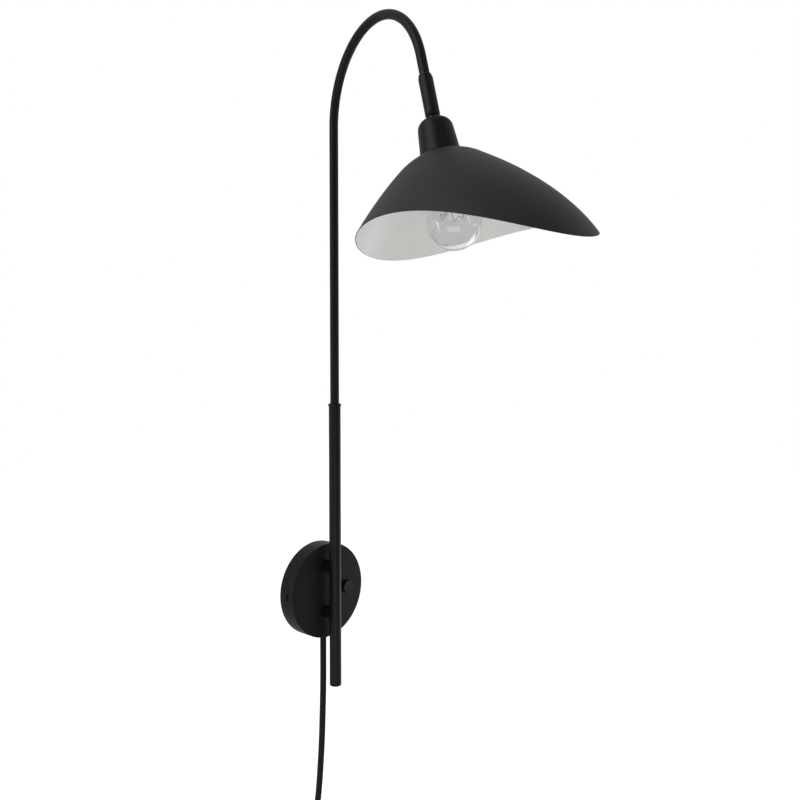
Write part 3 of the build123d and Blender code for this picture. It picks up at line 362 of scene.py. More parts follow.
def grain(net: Net, place: Socket, fineness: Socket, cloud: Socket) -> tuple[Socket, ...]:
    """A fine, even grain over a faint cloudiness, as on sprayed paint or moulded plastic.

    Height is fine noise, shade is broad noise and gloss is a mix of both.
    """
    fine = net.noise(place, fineness, 3.0)
    broad = net.noise(place, cloud, 2.0)
    return fine, broad, net.math("MULTIPLY_ADD", fine, 0.4, net.math("MULTIPLY", broad, 0.6))


def braid(net: Net, place: Socket, strands: Socket, pitch: Socket) -> tuple[Socket, ...]:
    """Two sets of yarns that wind opposite ways and pass over and under each other.

    With a = strands u + v / pitch and b = strands u - v / pitch, a cell's yarn on top is
    chosen by whether the whole parts of a and b add up to an even number, and its height is
    the sine of pi times the fraction across that yarn.
    """
    parts = net.node("ShaderNodeSeparateXYZ")
    net.feed(parts.inputs[0], place)
    around = net.math("MULTIPLY", parts.outputs[0], strands)
    along = net.math("DIVIDE", parts.outputs[1], pitch)
    left, right = net.math("ADD", around, along), net.math("SUBTRACT", around, along)
    whole = net.math("ADD", net.math("FLOOR", left), net.math("FLOOR", right))
    top = net.math("FLOORED_MODULO", whole, 2.0)
    heights = []
    for way, shown in ((left, top), (right, net.math("SUBTRACT", 1.0, top))):
        ridge = net.math("SINE", net.math("MULTIPLY", net.math("FRACT", way), math.pi))
        heights.append(net.math("MULTIPLY", ridge, shown))
    return net.math("ADD", *heights), net.noise(place, 400.0, 3.0), top


def drawn(net: Net, place: Socket, fineness: Socket, cloud: Socket) -> tuple[Socket, ...]:
    """Fine lines along Z, as on drawn or turned metal: noise of a place squeezed along Z."""
    squeeze = net.node("ShaderNodeVectorMath", operation="MULTIPLY")
    net.fill(squeeze, {0: place, 1: (1.0, 1.0, 0.04)})
    lines = net.noise(squeeze.outputs[0], fineness, 2.0)
    return lines, net.noise(place, cloud, 2.0), lines


EFFECT_MAKERS = {Effect.GRAIN: grain, Effect.BRAID: braid, Effect.DRAWN: drawn}


def effect_group(effect: Effect) -> bpy.types.NodeTree:
    """Returns an effect's group with named sockets, which is built at its first use.

    Args:
        effect: one of the effects.

    Returns:
        The group. Its outputs are the height, the shade and the effect's third output.
    """
    name, second, third, last = effect.value
    known = bpy.data.node_groups.get(name)
    if known:
        return known
    group = bpy.data.node_groups.new(name, "ShaderNodeTree")
    for label, kind in (("Place", "Vector"), (second, "Float"), (third, "Float")):
        group.interface.new_socket(name=label, in_out="INPUT", socket_type=f"NodeSocket{kind}")
    for label in ("Height", "Shade", last):
        group.interface.new_socket(name=label, in_out="OUTPUT", socket_type="NodeSocketFloat")
    net = Net(group)
    given, result = net.node("NodeGroupInput"), net.node("NodeGroupOutput")
    for socket, value in zip(result.inputs, EFFECT_MAKERS[effect](net, *given.outputs[:3])):
        net.feed(socket, value)
    return group


def new_paint(name: str) -> tuple[bpy.types.Material, Net, bpy.types.Node]:
    """Starts a material and returns it with its net and its Principled node."""
    material = bpy.data.materials.new(name)
    material.use_nodes = True
    return material, Net(material.node_tree), material.node_tree.nodes["Principled BSDF"]


@dataclass(frozen=True)
class Finish:
    """A finish: two tones that an effect mixes, its gloss and its relief.

    For a braid, fineness is the number of strands and cloud is the yarns' pitch.
    """

    name: str
    tone: tuple[float, float, float]
    second_tone: tuple[float, float, float]
    roughness: tuple[float, float] = (0.45, 0.55)
    metallic: float = 0.0
    specular: float = 0.5
    relief: float = 0.02 * MM
    effect: Effect = Effect.GRAIN
    fineness: float = 1800.0
    cloud: float = 30.0
    transmission: float = 0.0
    ior: float = 1.5
    sheen: float = 0.0

    def material(self) -> bpy.types.Material:
        """Returns the finish's material, which is built at its first use."""
        known = bpy.data.materials.get(self.name)
        if known:
            return known
        material, net, paint = new_paint(self.name)
        where = net.node("ShaderNodeTexCoord")
        pattern = net.node("ShaderNodeGroup", node_tree=effect_group(self.effect))
        source = "UV" if self.effect is Effect.BRAID else "Object"
        net.fill(pattern, {0: where.outputs[source], 1: self.fineness, 2: self.cloud})
        height, shade, gloss = pattern.outputs
        values = {
            "Base Color": net.blend(shade, (*self.tone, 1.0), (*self.second_tone, 1.0)),
            "Roughness": net.range(gloss, *self.roughness),
            "Metallic": self.metallic,
            "Specular IOR Level": self.specular,
            "Transmission Weight": self.transmission,
            "IOR": self.ior,
            "Sheen Weight": self.sheen,
        }
        if self.relief:
            bump = net.node("ShaderNodeBump")
            net.fill(bump, {"Distance": self.relief, "Height": height})
            values["Normal"] = bump.outputs[0]
        net.fill(paint, values)
        return material


@dataclass(frozen=True)
class Finishes:
    """Every finish on the lamp. Those of the record's material slots have the slots' names."""

    black_paint: Finish = Finish(
        "black_powder_paint", (0.0056, 0.0069, 0.0071), (0.0078, 0.0094, 0.0096),
        roughness=(0.36, 0.46), specular=0.16, relief=0.03 * MM, fineness=2200.0, cloud=22.0,
    )
    shade_black: Finish = Finish(
        "black_shade_paint", (0.0100, 0.0120, 0.0118), (0.0128, 0.0148, 0.0144),
        roughness=(0.46, 0.56), specular=0.30, relief=0.02 * MM, fineness=2600.0, cloud=14.0,
    )
    shade_white: Finish = Finish(
        "white_shade_paint", (0.78, 0.78, 0.76), (0.84, 0.84, 0.82),
        roughness=(0.42, 0.52), relief=0.02 * MM, fineness=2400.0, cloud=18.0,
    )
    steel: Finish = Finish(
        "zinc_plated_steel", (0.50, 0.51, 0.53), (0.62, 0.63, 0.64),
        roughness=(0.28, 0.42), metallic=1.0, effect=Effect.DRAWN, fineness=1500.0, cloud=60.0,
    )
    brass: Finish = Finish(
        "turned_brass", (0.66, 0.48, 0.22), (0.78, 0.60, 0.30),
        roughness=(0.22, 0.36), metallic=1.0, effect=Effect.DRAWN, fineness=1400.0, cloud=80.0,
    )
    copper: Finish = Finish(
        "copper_ring", (0.14, 0.045, 0.028), (0.19, 0.062, 0.036),
        roughness=(0.25, 0.38), metallic=1.0, effect=Effect.DRAWN, fineness=1400.0, cloud=90.0,
    )
    black_plastic: Finish = Finish(
        "black_moulded_plastic", (0.006, 0.0068, 0.0068), (0.009, 0.0098, 0.0098),
        roughness=(0.40, 0.52), specular=0.25, relief=0.04 * MM, fineness=900.0, cloud=40.0,
    )
    white_plastic: Finish = Finish(
        "white_moulded_plastic", (0.78, 0.77, 0.73), (0.84, 0.83, 0.79),
        roughness=(0.38, 0.50), relief=0.03 * MM, fineness=900.0, cloud=40.0,
    )
    textile: Finish = Finish(
        "braided_textile", (0.0120, 0.0085, 0.0125), (0.024, 0.018, 0.024),
        roughness=(0.80, 0.92), specular=0.1, relief=0.22 * MM, effect=Effect.BRAID,
        fineness=24.0, cloud=1.15 * MM, sheen=0.06,
    )
    core_plastic: Finish = Finish(
        "core_insulation", (0.26, 0.13, 0.05), (0.34, 0.18, 0.07),
        roughness=(0.35, 0.48), fineness=1600.0, cloud=50.0,
    )
    clear_glass: Finish = Finish(
        "clear_bulb_glass", (0.92, 0.93, 0.93), (0.95, 0.96, 0.95),
        roughness=(0.0, 0.010), transmission=1.0, ior=1.47, relief=0.0,
        fineness=60.0, cloud=20.0,
    )
    tungsten: Finish = Finish(
        "filament_wire", (0.16, 0.15, 0.15), (0.26, 0.25, 0.24),
        roughness=(0.35, 0.50), metallic=1.0, effect=Effect.DRAWN, fineness=4000.0, cloud=200.0,
    )
    tie_rubber: Finish = Finish(
        "tie_rubber", (0.014, 0.014, 0.014), (0.022, 0.022, 0.022),
        roughness=(0.62, 0.78), specular=0.3, relief=0.05 * MM, fineness=1100.0, cloud=60.0,
    )


FINISHES = Finishes()


def fit_out(
    piece: Piece,
    body: str,
    slot: str,
    replaced: Sequence[str] = (),
    finishes: Sequence[Finish] = (),
) -> Piece:
    """Gives a new piece its finish and its body, and hides the CAD nodes that it stands for.

    Args:
        piece: the new object.
        body: the body that it rides on.
        slot: the record's material slot.
        replaced: names of the CAD nodes that it stands for.
        finishes: one for each material index, where they aren't the slot's own.

    Returns:
        The same object.
    """
    for finish in finishes or [getattr(FINISHES, slot)]:
        piece.data.materials.append(finish.material())
    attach(piece, body)
    if replaced:
        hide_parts(*replaced)
    LOG.info("%s rides on %s: %d faces", piece.name, body, len(piece.data.polygons))
    return piece


# ---- Studio --------------------------------------------------------------------------


@dataclass
class Studio:
    """The camera, the soft light, the pale floor and the white background."""

    image_size: float = 800.0
    sensor_width: float = 36.0
    focal_pixels: float = 851.06
    horizon_row: float = 346.31
    camera_place: tuple[float, float, float] = (-0.78380, -0.89494, 0.33374)
    camera_azimuth: float = -46.907
    camera_roll: float = -0.194
    floor_height: float = -0.66
    floor_half_width: float = 6.0
    floor_grey: float = 0.86
    floor_glow: float = 0.75
    floor_roughness: float = 0.9
    light_in_front: float = 0.16
    light_behind: float = 0.62
    light_target: tuple[float, float, float] = (-0.05, -0.20, 0.45)
    soft_lights: tuple = (
        ("key_light", (-1.7, 0.3, 1.9), (1.3, 1.6), 19.0),
        ("strip_light", (-1.75, 0.75, 0.45), (0.35, 2.0), 7.0),
        ("fill_light", (1.2, -1.7, 1.0), (1.0, 1.8), 5.0),
        ("low_light", (-1.1, -1.1, -0.45), (1.6, 0.8), 6.5),
        ("side_light", (1.5, -0.4, -0.5), (1.2, 0.8), 7.0),
    )

    def camera(self) -> None:
        """Sets the camera: level, turned about the vertical, with a small vertical shift."""
        data = bpy.data.cameras.new("camera")
        data.sensor_width = self.sensor_width
        data.lens = self.focal_pixels * self.sensor_width / self.image_size
        data.shift_y = (self.horizon_row - self.image_size / 2) / self.image_size
        data.clip_start, data.clip_end = 0.05, 50.0
        camera = put("camera", data)
        azimuth, roll = math.radians(self.camera_azimuth), math.radians(self.camera_roll)
        forward = np.array([-math.sin(azimuth), math.cos(azimuth), 0.0])
        level = np.array([math.cos(azimuth), math.sin(azimuth), 0.0])
        right = level * math.cos(roll) + UP * math.sin(roll)
        up = UP * math.cos(roll) - level * math.sin(roll)
        turned = Matrix(np.stack([right, up, -forward], axis=1).tolist()).to_4x4()
        camera.matrix_world = Matrix.Translation(self.camera_place) @ turned
        bpy.context.scene.camera = camera

    def lights(self) -> None:
        """Adds rectangular soft lights: three at the left of the camera, two at the right."""
        for name, place, size, power in self.soft_lights:
            data = bpy.data.lights.new(name, "AREA")
            data.shape, data.energy = "RECTANGLE", power
            data.size, data.size_y = size
            away = unit(np.subtract(place, self.light_target))
            right = unit(np.cross(UP, away))
            turned = Matrix(np.stack([right, np.cross(away, right), away], axis=1).tolist())
            put(name, data).matrix_world = Matrix.Translation(place) @ turned.to_4x4()

    def world(self) -> None:
        """Makes the world white to the camera and through glass, and a soft light elsewhere.

        The light grows from the camera's side to the side behind the lamp, as in front of a
        white backdrop: with d the cosine to the view, it is a share (1 + d) / 2 of the way.
        """
        world = bpy.data.worlds.new("white_surroundings")
        world.use_nodes = True
        bpy.context.scene.world = world
        net = Net(world.node_tree)
        rays = net.node("ShaderNodeLightPath")
        seen = net.math("ADD", rays.outputs["Is Camera Ray"], rays.outputs["Is Transmission Ray"])
        azimuth = math.radians(self.camera_azimuth)
        place = net.node("ShaderNodeTexCoord")
        facing = net.node("ShaderNodeVectorMath", operation="DOT_PRODUCT")
        view = (-math.sin(azimuth), math.cos(azimuth), 0.0)
        net.fill(facing, {0: place.outputs["Generated"], 1: view})
        behind = net.math("MULTIPLY_ADD", facing.outputs["Value"], 0.5, 0.5)
        soft = net.range(behind, self.light_in_front, self.light_behind)
        strength = net.math("MAXIMUM", soft, net.math("MINIMUM", seen, 1.0))
        background = world.node_tree.nodes["Background"]
        net.fill(background, {"Color": WHITE, "Strength": strength})

    def floor(self) -> None:
        """Lays a pale floor that shows nearly white to the camera and keeps a faint shadow."""
        half = self.floor_half_width
        ways = ((-half, -half), (half, -half), (half, half), (-half, half))
        corners = [(*way, self.floor_height) for way in ways]
        mesh = bpy.data.meshes.new("pale_floor")
        mesh.from_pydata(corners, [], [(0, 1, 2, 3)])
        floor = put("pale_floor", mesh)
        material, net, paint = new_paint("pale_floor_paint")
        rays = net.node("ShaderNodeLightPath")
        values = {
            "Base Color": (*[self.floor_grey] * 3, 1.0),
            "Roughness": self.floor_roughness,
            "Emission Color": WHITE,
            "Emission Strength": net.math(
                "MULTIPLY", rays.outputs["Is Camera Ray"], self.floor_glow
            ),
        }
        net.fill(paint, values)
        mesh.materials.append(material)

    def build(self) -> None:
        """Sets up the whole studio."""
        self.camera()
        self.lights()
        self.world()
        self.floor()
        bpy.context.scene.view_settings.view_transform = "Standard"


# ---- Cord, coil and plug -------------------------------------------------------------


@dataclass
class Cord:
    """The textile cord: it hangs from the gland, and what is left over is a flat coil."""

    diameter: float = 8.6 * MM
    length: float = 1.827
    coil_radius: float = 57.5 * MM
    coil_pitch: float = 9.1 * MM
    turns_in: float = 2.5
    steps_in_turn: int = 16
    tail_length: float = 36.0 * MM
    tail_swing: float = 6.0
    line_steps: int = 10
    sides: int = 28
    route: tuple = (
        (0.0, -14.8, -65.6),
        (0.0, -14.8, -96.0),
        (0.2, -14.3, -136.0),
        (-0.1, -13.1, -175.0),
        (0.2, -11.0, -213.0),
        (-0.3, -8.4, -249.0),
        (-1.6, -6.3, -283.0),
        (-6.2, -5.9, -311.0),
        (-14.8, -5.9, -336.0),
        (-25.7, -5.9, -357.4),
    )
    tail_end: np.ndarray = field(init=False)
    tail_heading: np.ndarray = field(init=False)

    def coil(self) -> np.ndarray:
        """Works out the coil's control points and where its tail goes.

        After t turns the radius is coil_radius - pitch min(t, 5 - t), and the depth grows by
        pitch (1 - cos c) / 2, where c runs through half a circle in the half turn where
        the spiral reverses. The spline cuts inside its points, so each radius is divided by
        the cosine of half a step.

        Returns:
            The control points of the coil and its tail.
        """
        start, before = np.array(self.route[-1]) * MM, np.array(self.route[-2]) * MM
        heading = unit(start - before)
        first = math.atan2(-heading[0], heading[2])
        outward = np.array([math.cos(first), 0, math.sin(first)])
        centre = start + heading * self.diameter - outward * self.coil_radius
        whole = 2 * self.turns_in + (math.pi - first) / TURN
        turns = np.arange(0.5, whole * self.steps_in_turn) / self.steps_in_turn
        angle = first + TURN * turns
        inward = np.minimum(turns, 2 * self.turns_in - turns)
        radius = self.coil_radius - self.coil_pitch * inward
        radius = radius / math.cos(math.pi / self.steps_in_turn)
        climb = np.clip(turns - self.turns_in + 0.25, 0, 0.5) * TURN
        depth = -start[1] + self.coil_pitch * (1 - np.cos(climb)) / 2
        across, height = centre[0] + radius * np.cos(angle), centre[2] + radius * np.sin(angle)
        rings = np.stack([across, -depth, height], axis=-1)
        last_radius = self.coil_radius - self.coil_pitch * (2 * self.turns_in - whole)
        end = np.array([centre[0] - last_radius, start[1] - self.coil_pitch, centre[2]])
        drift = self.coil_pitch / TURN
        down = unit(np.array([-drift, 0.0, -last_radius]))
        swing = math.radians(self.tail_swing)
        sideways = np.array([down[2], 0.0, -down[0]])
        self.tail_heading = down * math.cos(swing) + sideways * math.sin(swing)
        middle = end + down * (self.diameter + self.tail_length / 2)
        self.tail_end = middle + self.tail_heading * (self.tail_length / 2)
        return np.concatenate([rings, [middle, self.tail_end]])

    def line(self) -> np.ndarray:
        """Draws the route as one smooth spline and returns the points along it."""
        spots = np.concatenate([np.array(self.route) * MM, self.coil()])
        data = bpy.data.curves.new("cord_route", "CURVE")
        data.dimensions = "3D"
        spline = data.splines.new("NURBS")
        spline.points.add(len(spots) - 1)
        weighted = np.concatenate([spots, np.ones((len(spots), 1))], axis=1)
        spline.points.foreach_set("co", weighted.ravel())
        spline.order_u = 3
        spline.use_endpoint_u = True
        spline.resolution_u = self.line_steps
        route = put("cord_route", data)
        mesh = bpy.data.meshes.new_from_object(route)
        points = np.empty(3 * len(mesh.vertices))
        mesh.vertices.foreach_get("co", points)
        bpy.data.objects.remove(route)
        bpy.data.meshes.remove(mesh)
        bpy.data.curves.remove(data)
        return points.reshape(-1, 3)

    def plug(self) -> Piece:
        """Makes the plug's body with its ribbed strain relief.

        A section is |x / a|^n + |y / b|^n = 1. Its half-axes a and b grow from the cord's
        size and n grows from 2, a circle, to 4.6, a soft-cornered block.

        Returns:
            The plug's body.
        """
        rows = [(0, 0, 0), (0, 5, 5), (6, 5.5, 5.5), (8, 5.7, 5.7)]
        for foot, reach in ((8.5, 5.2), (11.5, 6.1), (14.5, 5.5)):
            rows += [(foot, reach, reach), (foot + 2.5, reach, reach)]
        rows += [(17.5, 6.5, 6.5), (20, 6.8, 6.8), (24, 7.5, 7.5)]
        rows += [(24.1, 9.6, 10.2), (25.4, 11.2, 12.1), (27.5, 11.9, 12.9), (36, 12, 13)]
        rows += [(50, 12, 13), (52.6, 11.9, 12.9), (53.7, 11.2, 12.2), (54, 10.2, 11.2)]
        height, half_x, half_y = np.array([*rows, (54, 0, 0)]).T[..., None]
        round_below, square_above = 22.0, 25.5
        share = np.clip((height - round_below) / (square_above - round_below), 0, 1)
        power = 2 + 2.6 * share
        angle = np.linspace(0, TURN, 96, endpoint=False)
        cosine, sine = np.cos(angle), np.sin(angle)
        grow = (np.abs(cosine) ** power + np.abs(sine) ** power) ** (-1 / power)
        axes = Axes(self.tail_end, BACK, self.tail_heading)
        points = axes.place(half_x * cosine * grow, half_y * sine * grow, height)
        return surface("plug_shell", points)

    def build(self) -> None:
        """Lays the cord and puts the plug on it."""
        line = self.line()
        cord = tube("textile_cord", line, -BACK, self.diameter / 2, self.sides)
        fit_out(cord, "wall_side", "textile", ["supply_cord", "cord_coil", "cord_tail"])
        plug = fit_out(self.plug(), "wall_side", "black_plastic", ["plug_body"])


# ---- Back plate and upright ----------------------------------------------------------


@dataclass
class WallSide:
    """The back plate, the push button and the upright tube."""

    plate_radius: float = 63.5
    plate_depth: float = 26.0
    plate_wall: float = 1.6
    edge_radius: float = 1.2
    bevel: float = 0.3
    button_across: float = 33.0
    button_height: float = -1.0
    button_radius: float = 8.4
    button_front: float = 31.0
    button_gap: float = 0.3
    tube_standoff: float = 39.7
    tube_radius: float = 8.0
    tube_wall: float = 1.0
    tube_foot: float = -124.2
    seam_height: float = 56.6
    tube_top: float = 252.0
    seam_bevel: float = 0.4
    sides: int = 192

    @property
    def tube_axes(self) -> Axes:
        """The upright's axis, with heights above the plate's centre."""
        return Axes(-MM * self.tube_standoff * BACK, RIGHT, UP)

    def plate(self) -> Piece:
        """Makes the dished back plate with the button's hole in its face.

        The face is ruled between two circles that don't share a centre: the button's hole
        and the plate's edge. A row of the grid is a circle whose centre and radius slide
        from the one to the other.

        Returns:
            The plate.
        """
        hole = self.button_radius + self.button_gap
        inner = self.plate_radius - self.plate_wall
        floor = self.plate_depth - self.plate_wall
        outer, face = self.plate_radius, self.plate_depth
        edge, bevel = self.edge_radius, self.bevel
        rim = arc((outer - edge, face - edge), edge, 90, 0, 8).tolist()
        rim += [(outer, bevel), (outer - bevel, 0.0), (inner, 0.0), (inner, floor)]
        shares = np.linspace(0, 1, 8)[1:-1]
        rows = np.array(
            [(0.0, hole, floor), (0.0, hole, face - bevel), (0.0, hole + bevel, face)]
            + [(part, hole + (rim[0][0] - hole) * part, face) for part in shares]
            + [(1.0, *spot) for spot in rim]
        )
        share, radius, depth = rows.T[..., None]
        angle = np.linspace(0, TURN, self.sides, endpoint=False)
        across = self.button_across * (1 - share) + radius * np.cos(angle)
        height = self.button_height * (1 - share) + radius * np.sin(angle)
        points = MM * np.stack(np.broadcast_arrays(across, -depth, height), axis=-1)
        return surface("plate_shell", points, wrap_rows=True)

    def button(self) -> Piece:
        """Turns the push button, with a soft edge and a shallow dish in its face."""
        middle = MM * (RIGHT * self.button_across + UP * self.button_height)
        front, radius = self.button_front, self.button_radius
        back, flange, flange_front, flange_back = front - 10, 9.8, 24.1, 22.5
        corners = [
            (0, front - 0.35, 0), (radius * 0.72, front - 0.1, 12), (radius, front, 0.6),
            (radius, flange_front, 0), (flange, flange_front, 0), (flange, flange_back, 0),
            (radius, flange_back, 0), (radius, back, 0), (0, back, 0),
        ]
        return turned("button_cap", Axes(middle, RIGHT, -BACK), corners)

    def tube_length(self, name: str, foot: float, top: float) -> Piece:
        """Turns one length of the upright, with the bevelled ends that show as a seam."""
        bevel, radius = self.seam_bevel, self.tube_radius
        bore = radius - self.tube_wall
        profile = [
            (bore, foot), (radius - bevel, foot), (radius, foot + bevel),
            (radius, top - bevel), (radius - bevel, top), (bore, top),
        ]
        return lathe(name, self.tube_axes, np.array(profile), ring=True)

    def end_plug(self) -> Piece:
        """Turns the plug that closes the upright's foot."""
        foot, radius = self.tube_foot, self.tube_radius
        bore, lip, reach = radius - self.tube_wall - 0.05, 1.8, 10
        corners = [
            (0, foot - lip, 0), (radius, foot - lip, 1.2), (radius, foot, 0),
            (bore, foot, 0), (bore, foot + reach, 0), (0, foot + reach, 0),
        ]
        return turned("tube_foot", self.tube_axes, corners)

    def collar(self) -> Piece:
        """Turns the round-edged collar on the upright's top."""
        foot, radius, bore = self.tube_top, 8.7, 6.3
        top = foot + 4.4
        corners = [(bore, foot, 0), (radius, foot, 1.2), (radius, top, 1.4), (bore, top, 0.3)]
        return turned("top_collar", self.tube_axes, corners, ring=True)

    def build(self) -> None:
        """Builds the pieces that stay on the wall."""
        body, paint = "wall_side", "black_paint"
        fit_out(self.plate(), body, paint, ["back_plate"])
        fit_out(self.button(), "button", "black_plastic", ["push_button"])
        lower = self.tube_length("lower_upright", self.tube_foot, self.seam_height)
        fit_out(lower, body, paint, ["lower_tube"])
        upper = self.tube_length("upper_upright", self.seam_height, self.tube_top)
        fit_out(upper, body, paint, ["upper_tube"])
        fit_out(self.end_plug(), body, paint, ["end_plug"])
        fit_out(self.collar(), body, paint, ["collar"])


# ---- Arched tube and swivel sleeve ---------------------------------------------------


class HangingAxis:
    """The axis of the arch's hanging end, with heights measured from the arch's end."""

    ball_height: float = 75.2

    def __init__(self) -> None:
        """Works the axis out from the frame's joints."""
        turn, nod = joint("shade_turn"), joint("shade_nod")
        self.ball = np.array(turn["pos_m"])
        self.down = unit(turn["axis"])
        self.side = unit(nod["axis"])
        self.forward = np.cross(self.side, self.down)
        if self.forward @ (self.ball * (1, 1, 0)) < 0:
            self.forward = -self.forward
        self.start = self.ball - self.down * self.ball_height * MM

    @property
    def axes(self) -> Axes:
        """The frame of the hanging end."""
        return Axes(self.start, self.forward, self.down)


@dataclass
class Arm:
    """The arched tube with the nut and the sleeve that hold the ball."""

    hanging: HangingAxis
    tube_radius: float = 6.0
    tube_bottom: float = 78.4
    spring_height: float = 631.9
    arch_radius: float = 110.7
    arch_angle: float = 162.25
    tube_overrun: float = 41.5
    arch_steps: int = 97

    def centre_line(self) -> np.ndarray:
        """Returns the arch's centre line.

        It rises, turns through the arch's angle on a circle of arch_radius in the upright
        plane that holds the ball, and runs straight on to its end in the sleeve.
        """
        hinge = np.array(joint("arm_swing")["pos_m"]) * (1, 1, 0)
        out = unit((self.hanging.ball - hinge) * (1, 1, 0))
        turn = np.radians(np.linspace(0, self.arch_angle, self.arch_steps))[:, None]
        springing = hinge + UP * self.spring_height * MM
        bend = springing + self.arch_radius * MM * (out * (1 - np.cos(turn)) + UP * np.sin(turn))
        foot = hinge + UP * self.tube_bottom * MM
        rise = foot + (springing - foot) * np.linspace(0, 0.999, 12)[:, None]
        overrun = self.hanging.down * self.tube_overrun * MM
        last = bend[-1] + overrun * np.linspace(0.02, 1, 6)[:, None]
        return np.concatenate([rise, bend, last])

    def top_nut(self) -> Piece:
        """Turns the nut that the arch's end screws into."""
        radius, bore, thread = 7.6, 6.0, 7.2
        start, split, end = 25.5, 29.1, 56.1
        corners = [
            (bore, start, 0), (radius, start, 0.9), (radius, split, 0), (thread, split, 0),
            (thread, end, 0), (bore, end, 0),
        ]
        return turned("arch_end_nut", self.hanging.axes, corners, ring=True)

    def gasket(self) -> Piece:
        """Turns the thin reddish ring that shows where the arch meets its nut."""
        radius, bore, start, end = 6.9, 6.0, 25.0, 25.5
        corners = [(bore, start, 0), (radius, start, 0.2), (radius, end, 0), (bore, end, 0)]
        return turned("arch_end_ring", self.hanging.axes, corners, ring=True)

    def sleeve(self) -> Piece:
        """Turns the sleeve: straight outside, rounded at its mouth, cupped round the ball."""
        radius, bore, start = 8.5, 7.25, 29.1
        round_radius, mouth, ball = 4.5, 6.0, self.hanging.ball_height
        end, middle = ball + 4.6, radius - round_radius
        round_angle = math.degrees(math.acos((mouth - middle) / round_radius))
        round_height = end - round_radius * math.sin(math.radians(round_angle))
        corners = [(bore, start, 0), (radius, start, 0.9), (radius, round_height, 0)]
        outside = rounded(corners, steps=5)
        end_round = arc((middle, round_height), round_radius, 0, round_angle, 14)[1:]
        seat = arc((0, ball), bore, math.degrees(math.acos(mouth / bore)), 0, 8)
        profile = np.concatenate([outside, end_round, seat])
        return lathe("ball_sleeve", self.hanging.axes, profile, ring=True)

    def build(self) -> None:
        """Builds the arm's visible pieces."""
        arch = tube("arch_tube", self.centre_line(), self.hanging.side, self.tube_radius * MM, 64)
        fit_out(arch, "arm", "black_paint", ["arched_tube"])
        fit_out(self.top_nut(), "arm", "black_paint", ["sleeve_top_nut"])
        fit_out(self.gasket(), "arm", "brass", finishes=[FINISHES.copper])
        fit_out(self.sleeve(), "arm", "black_paint", ["swivel_sleeve"])


# ---- Cap, shade and bulb -------------------------------------------------------------


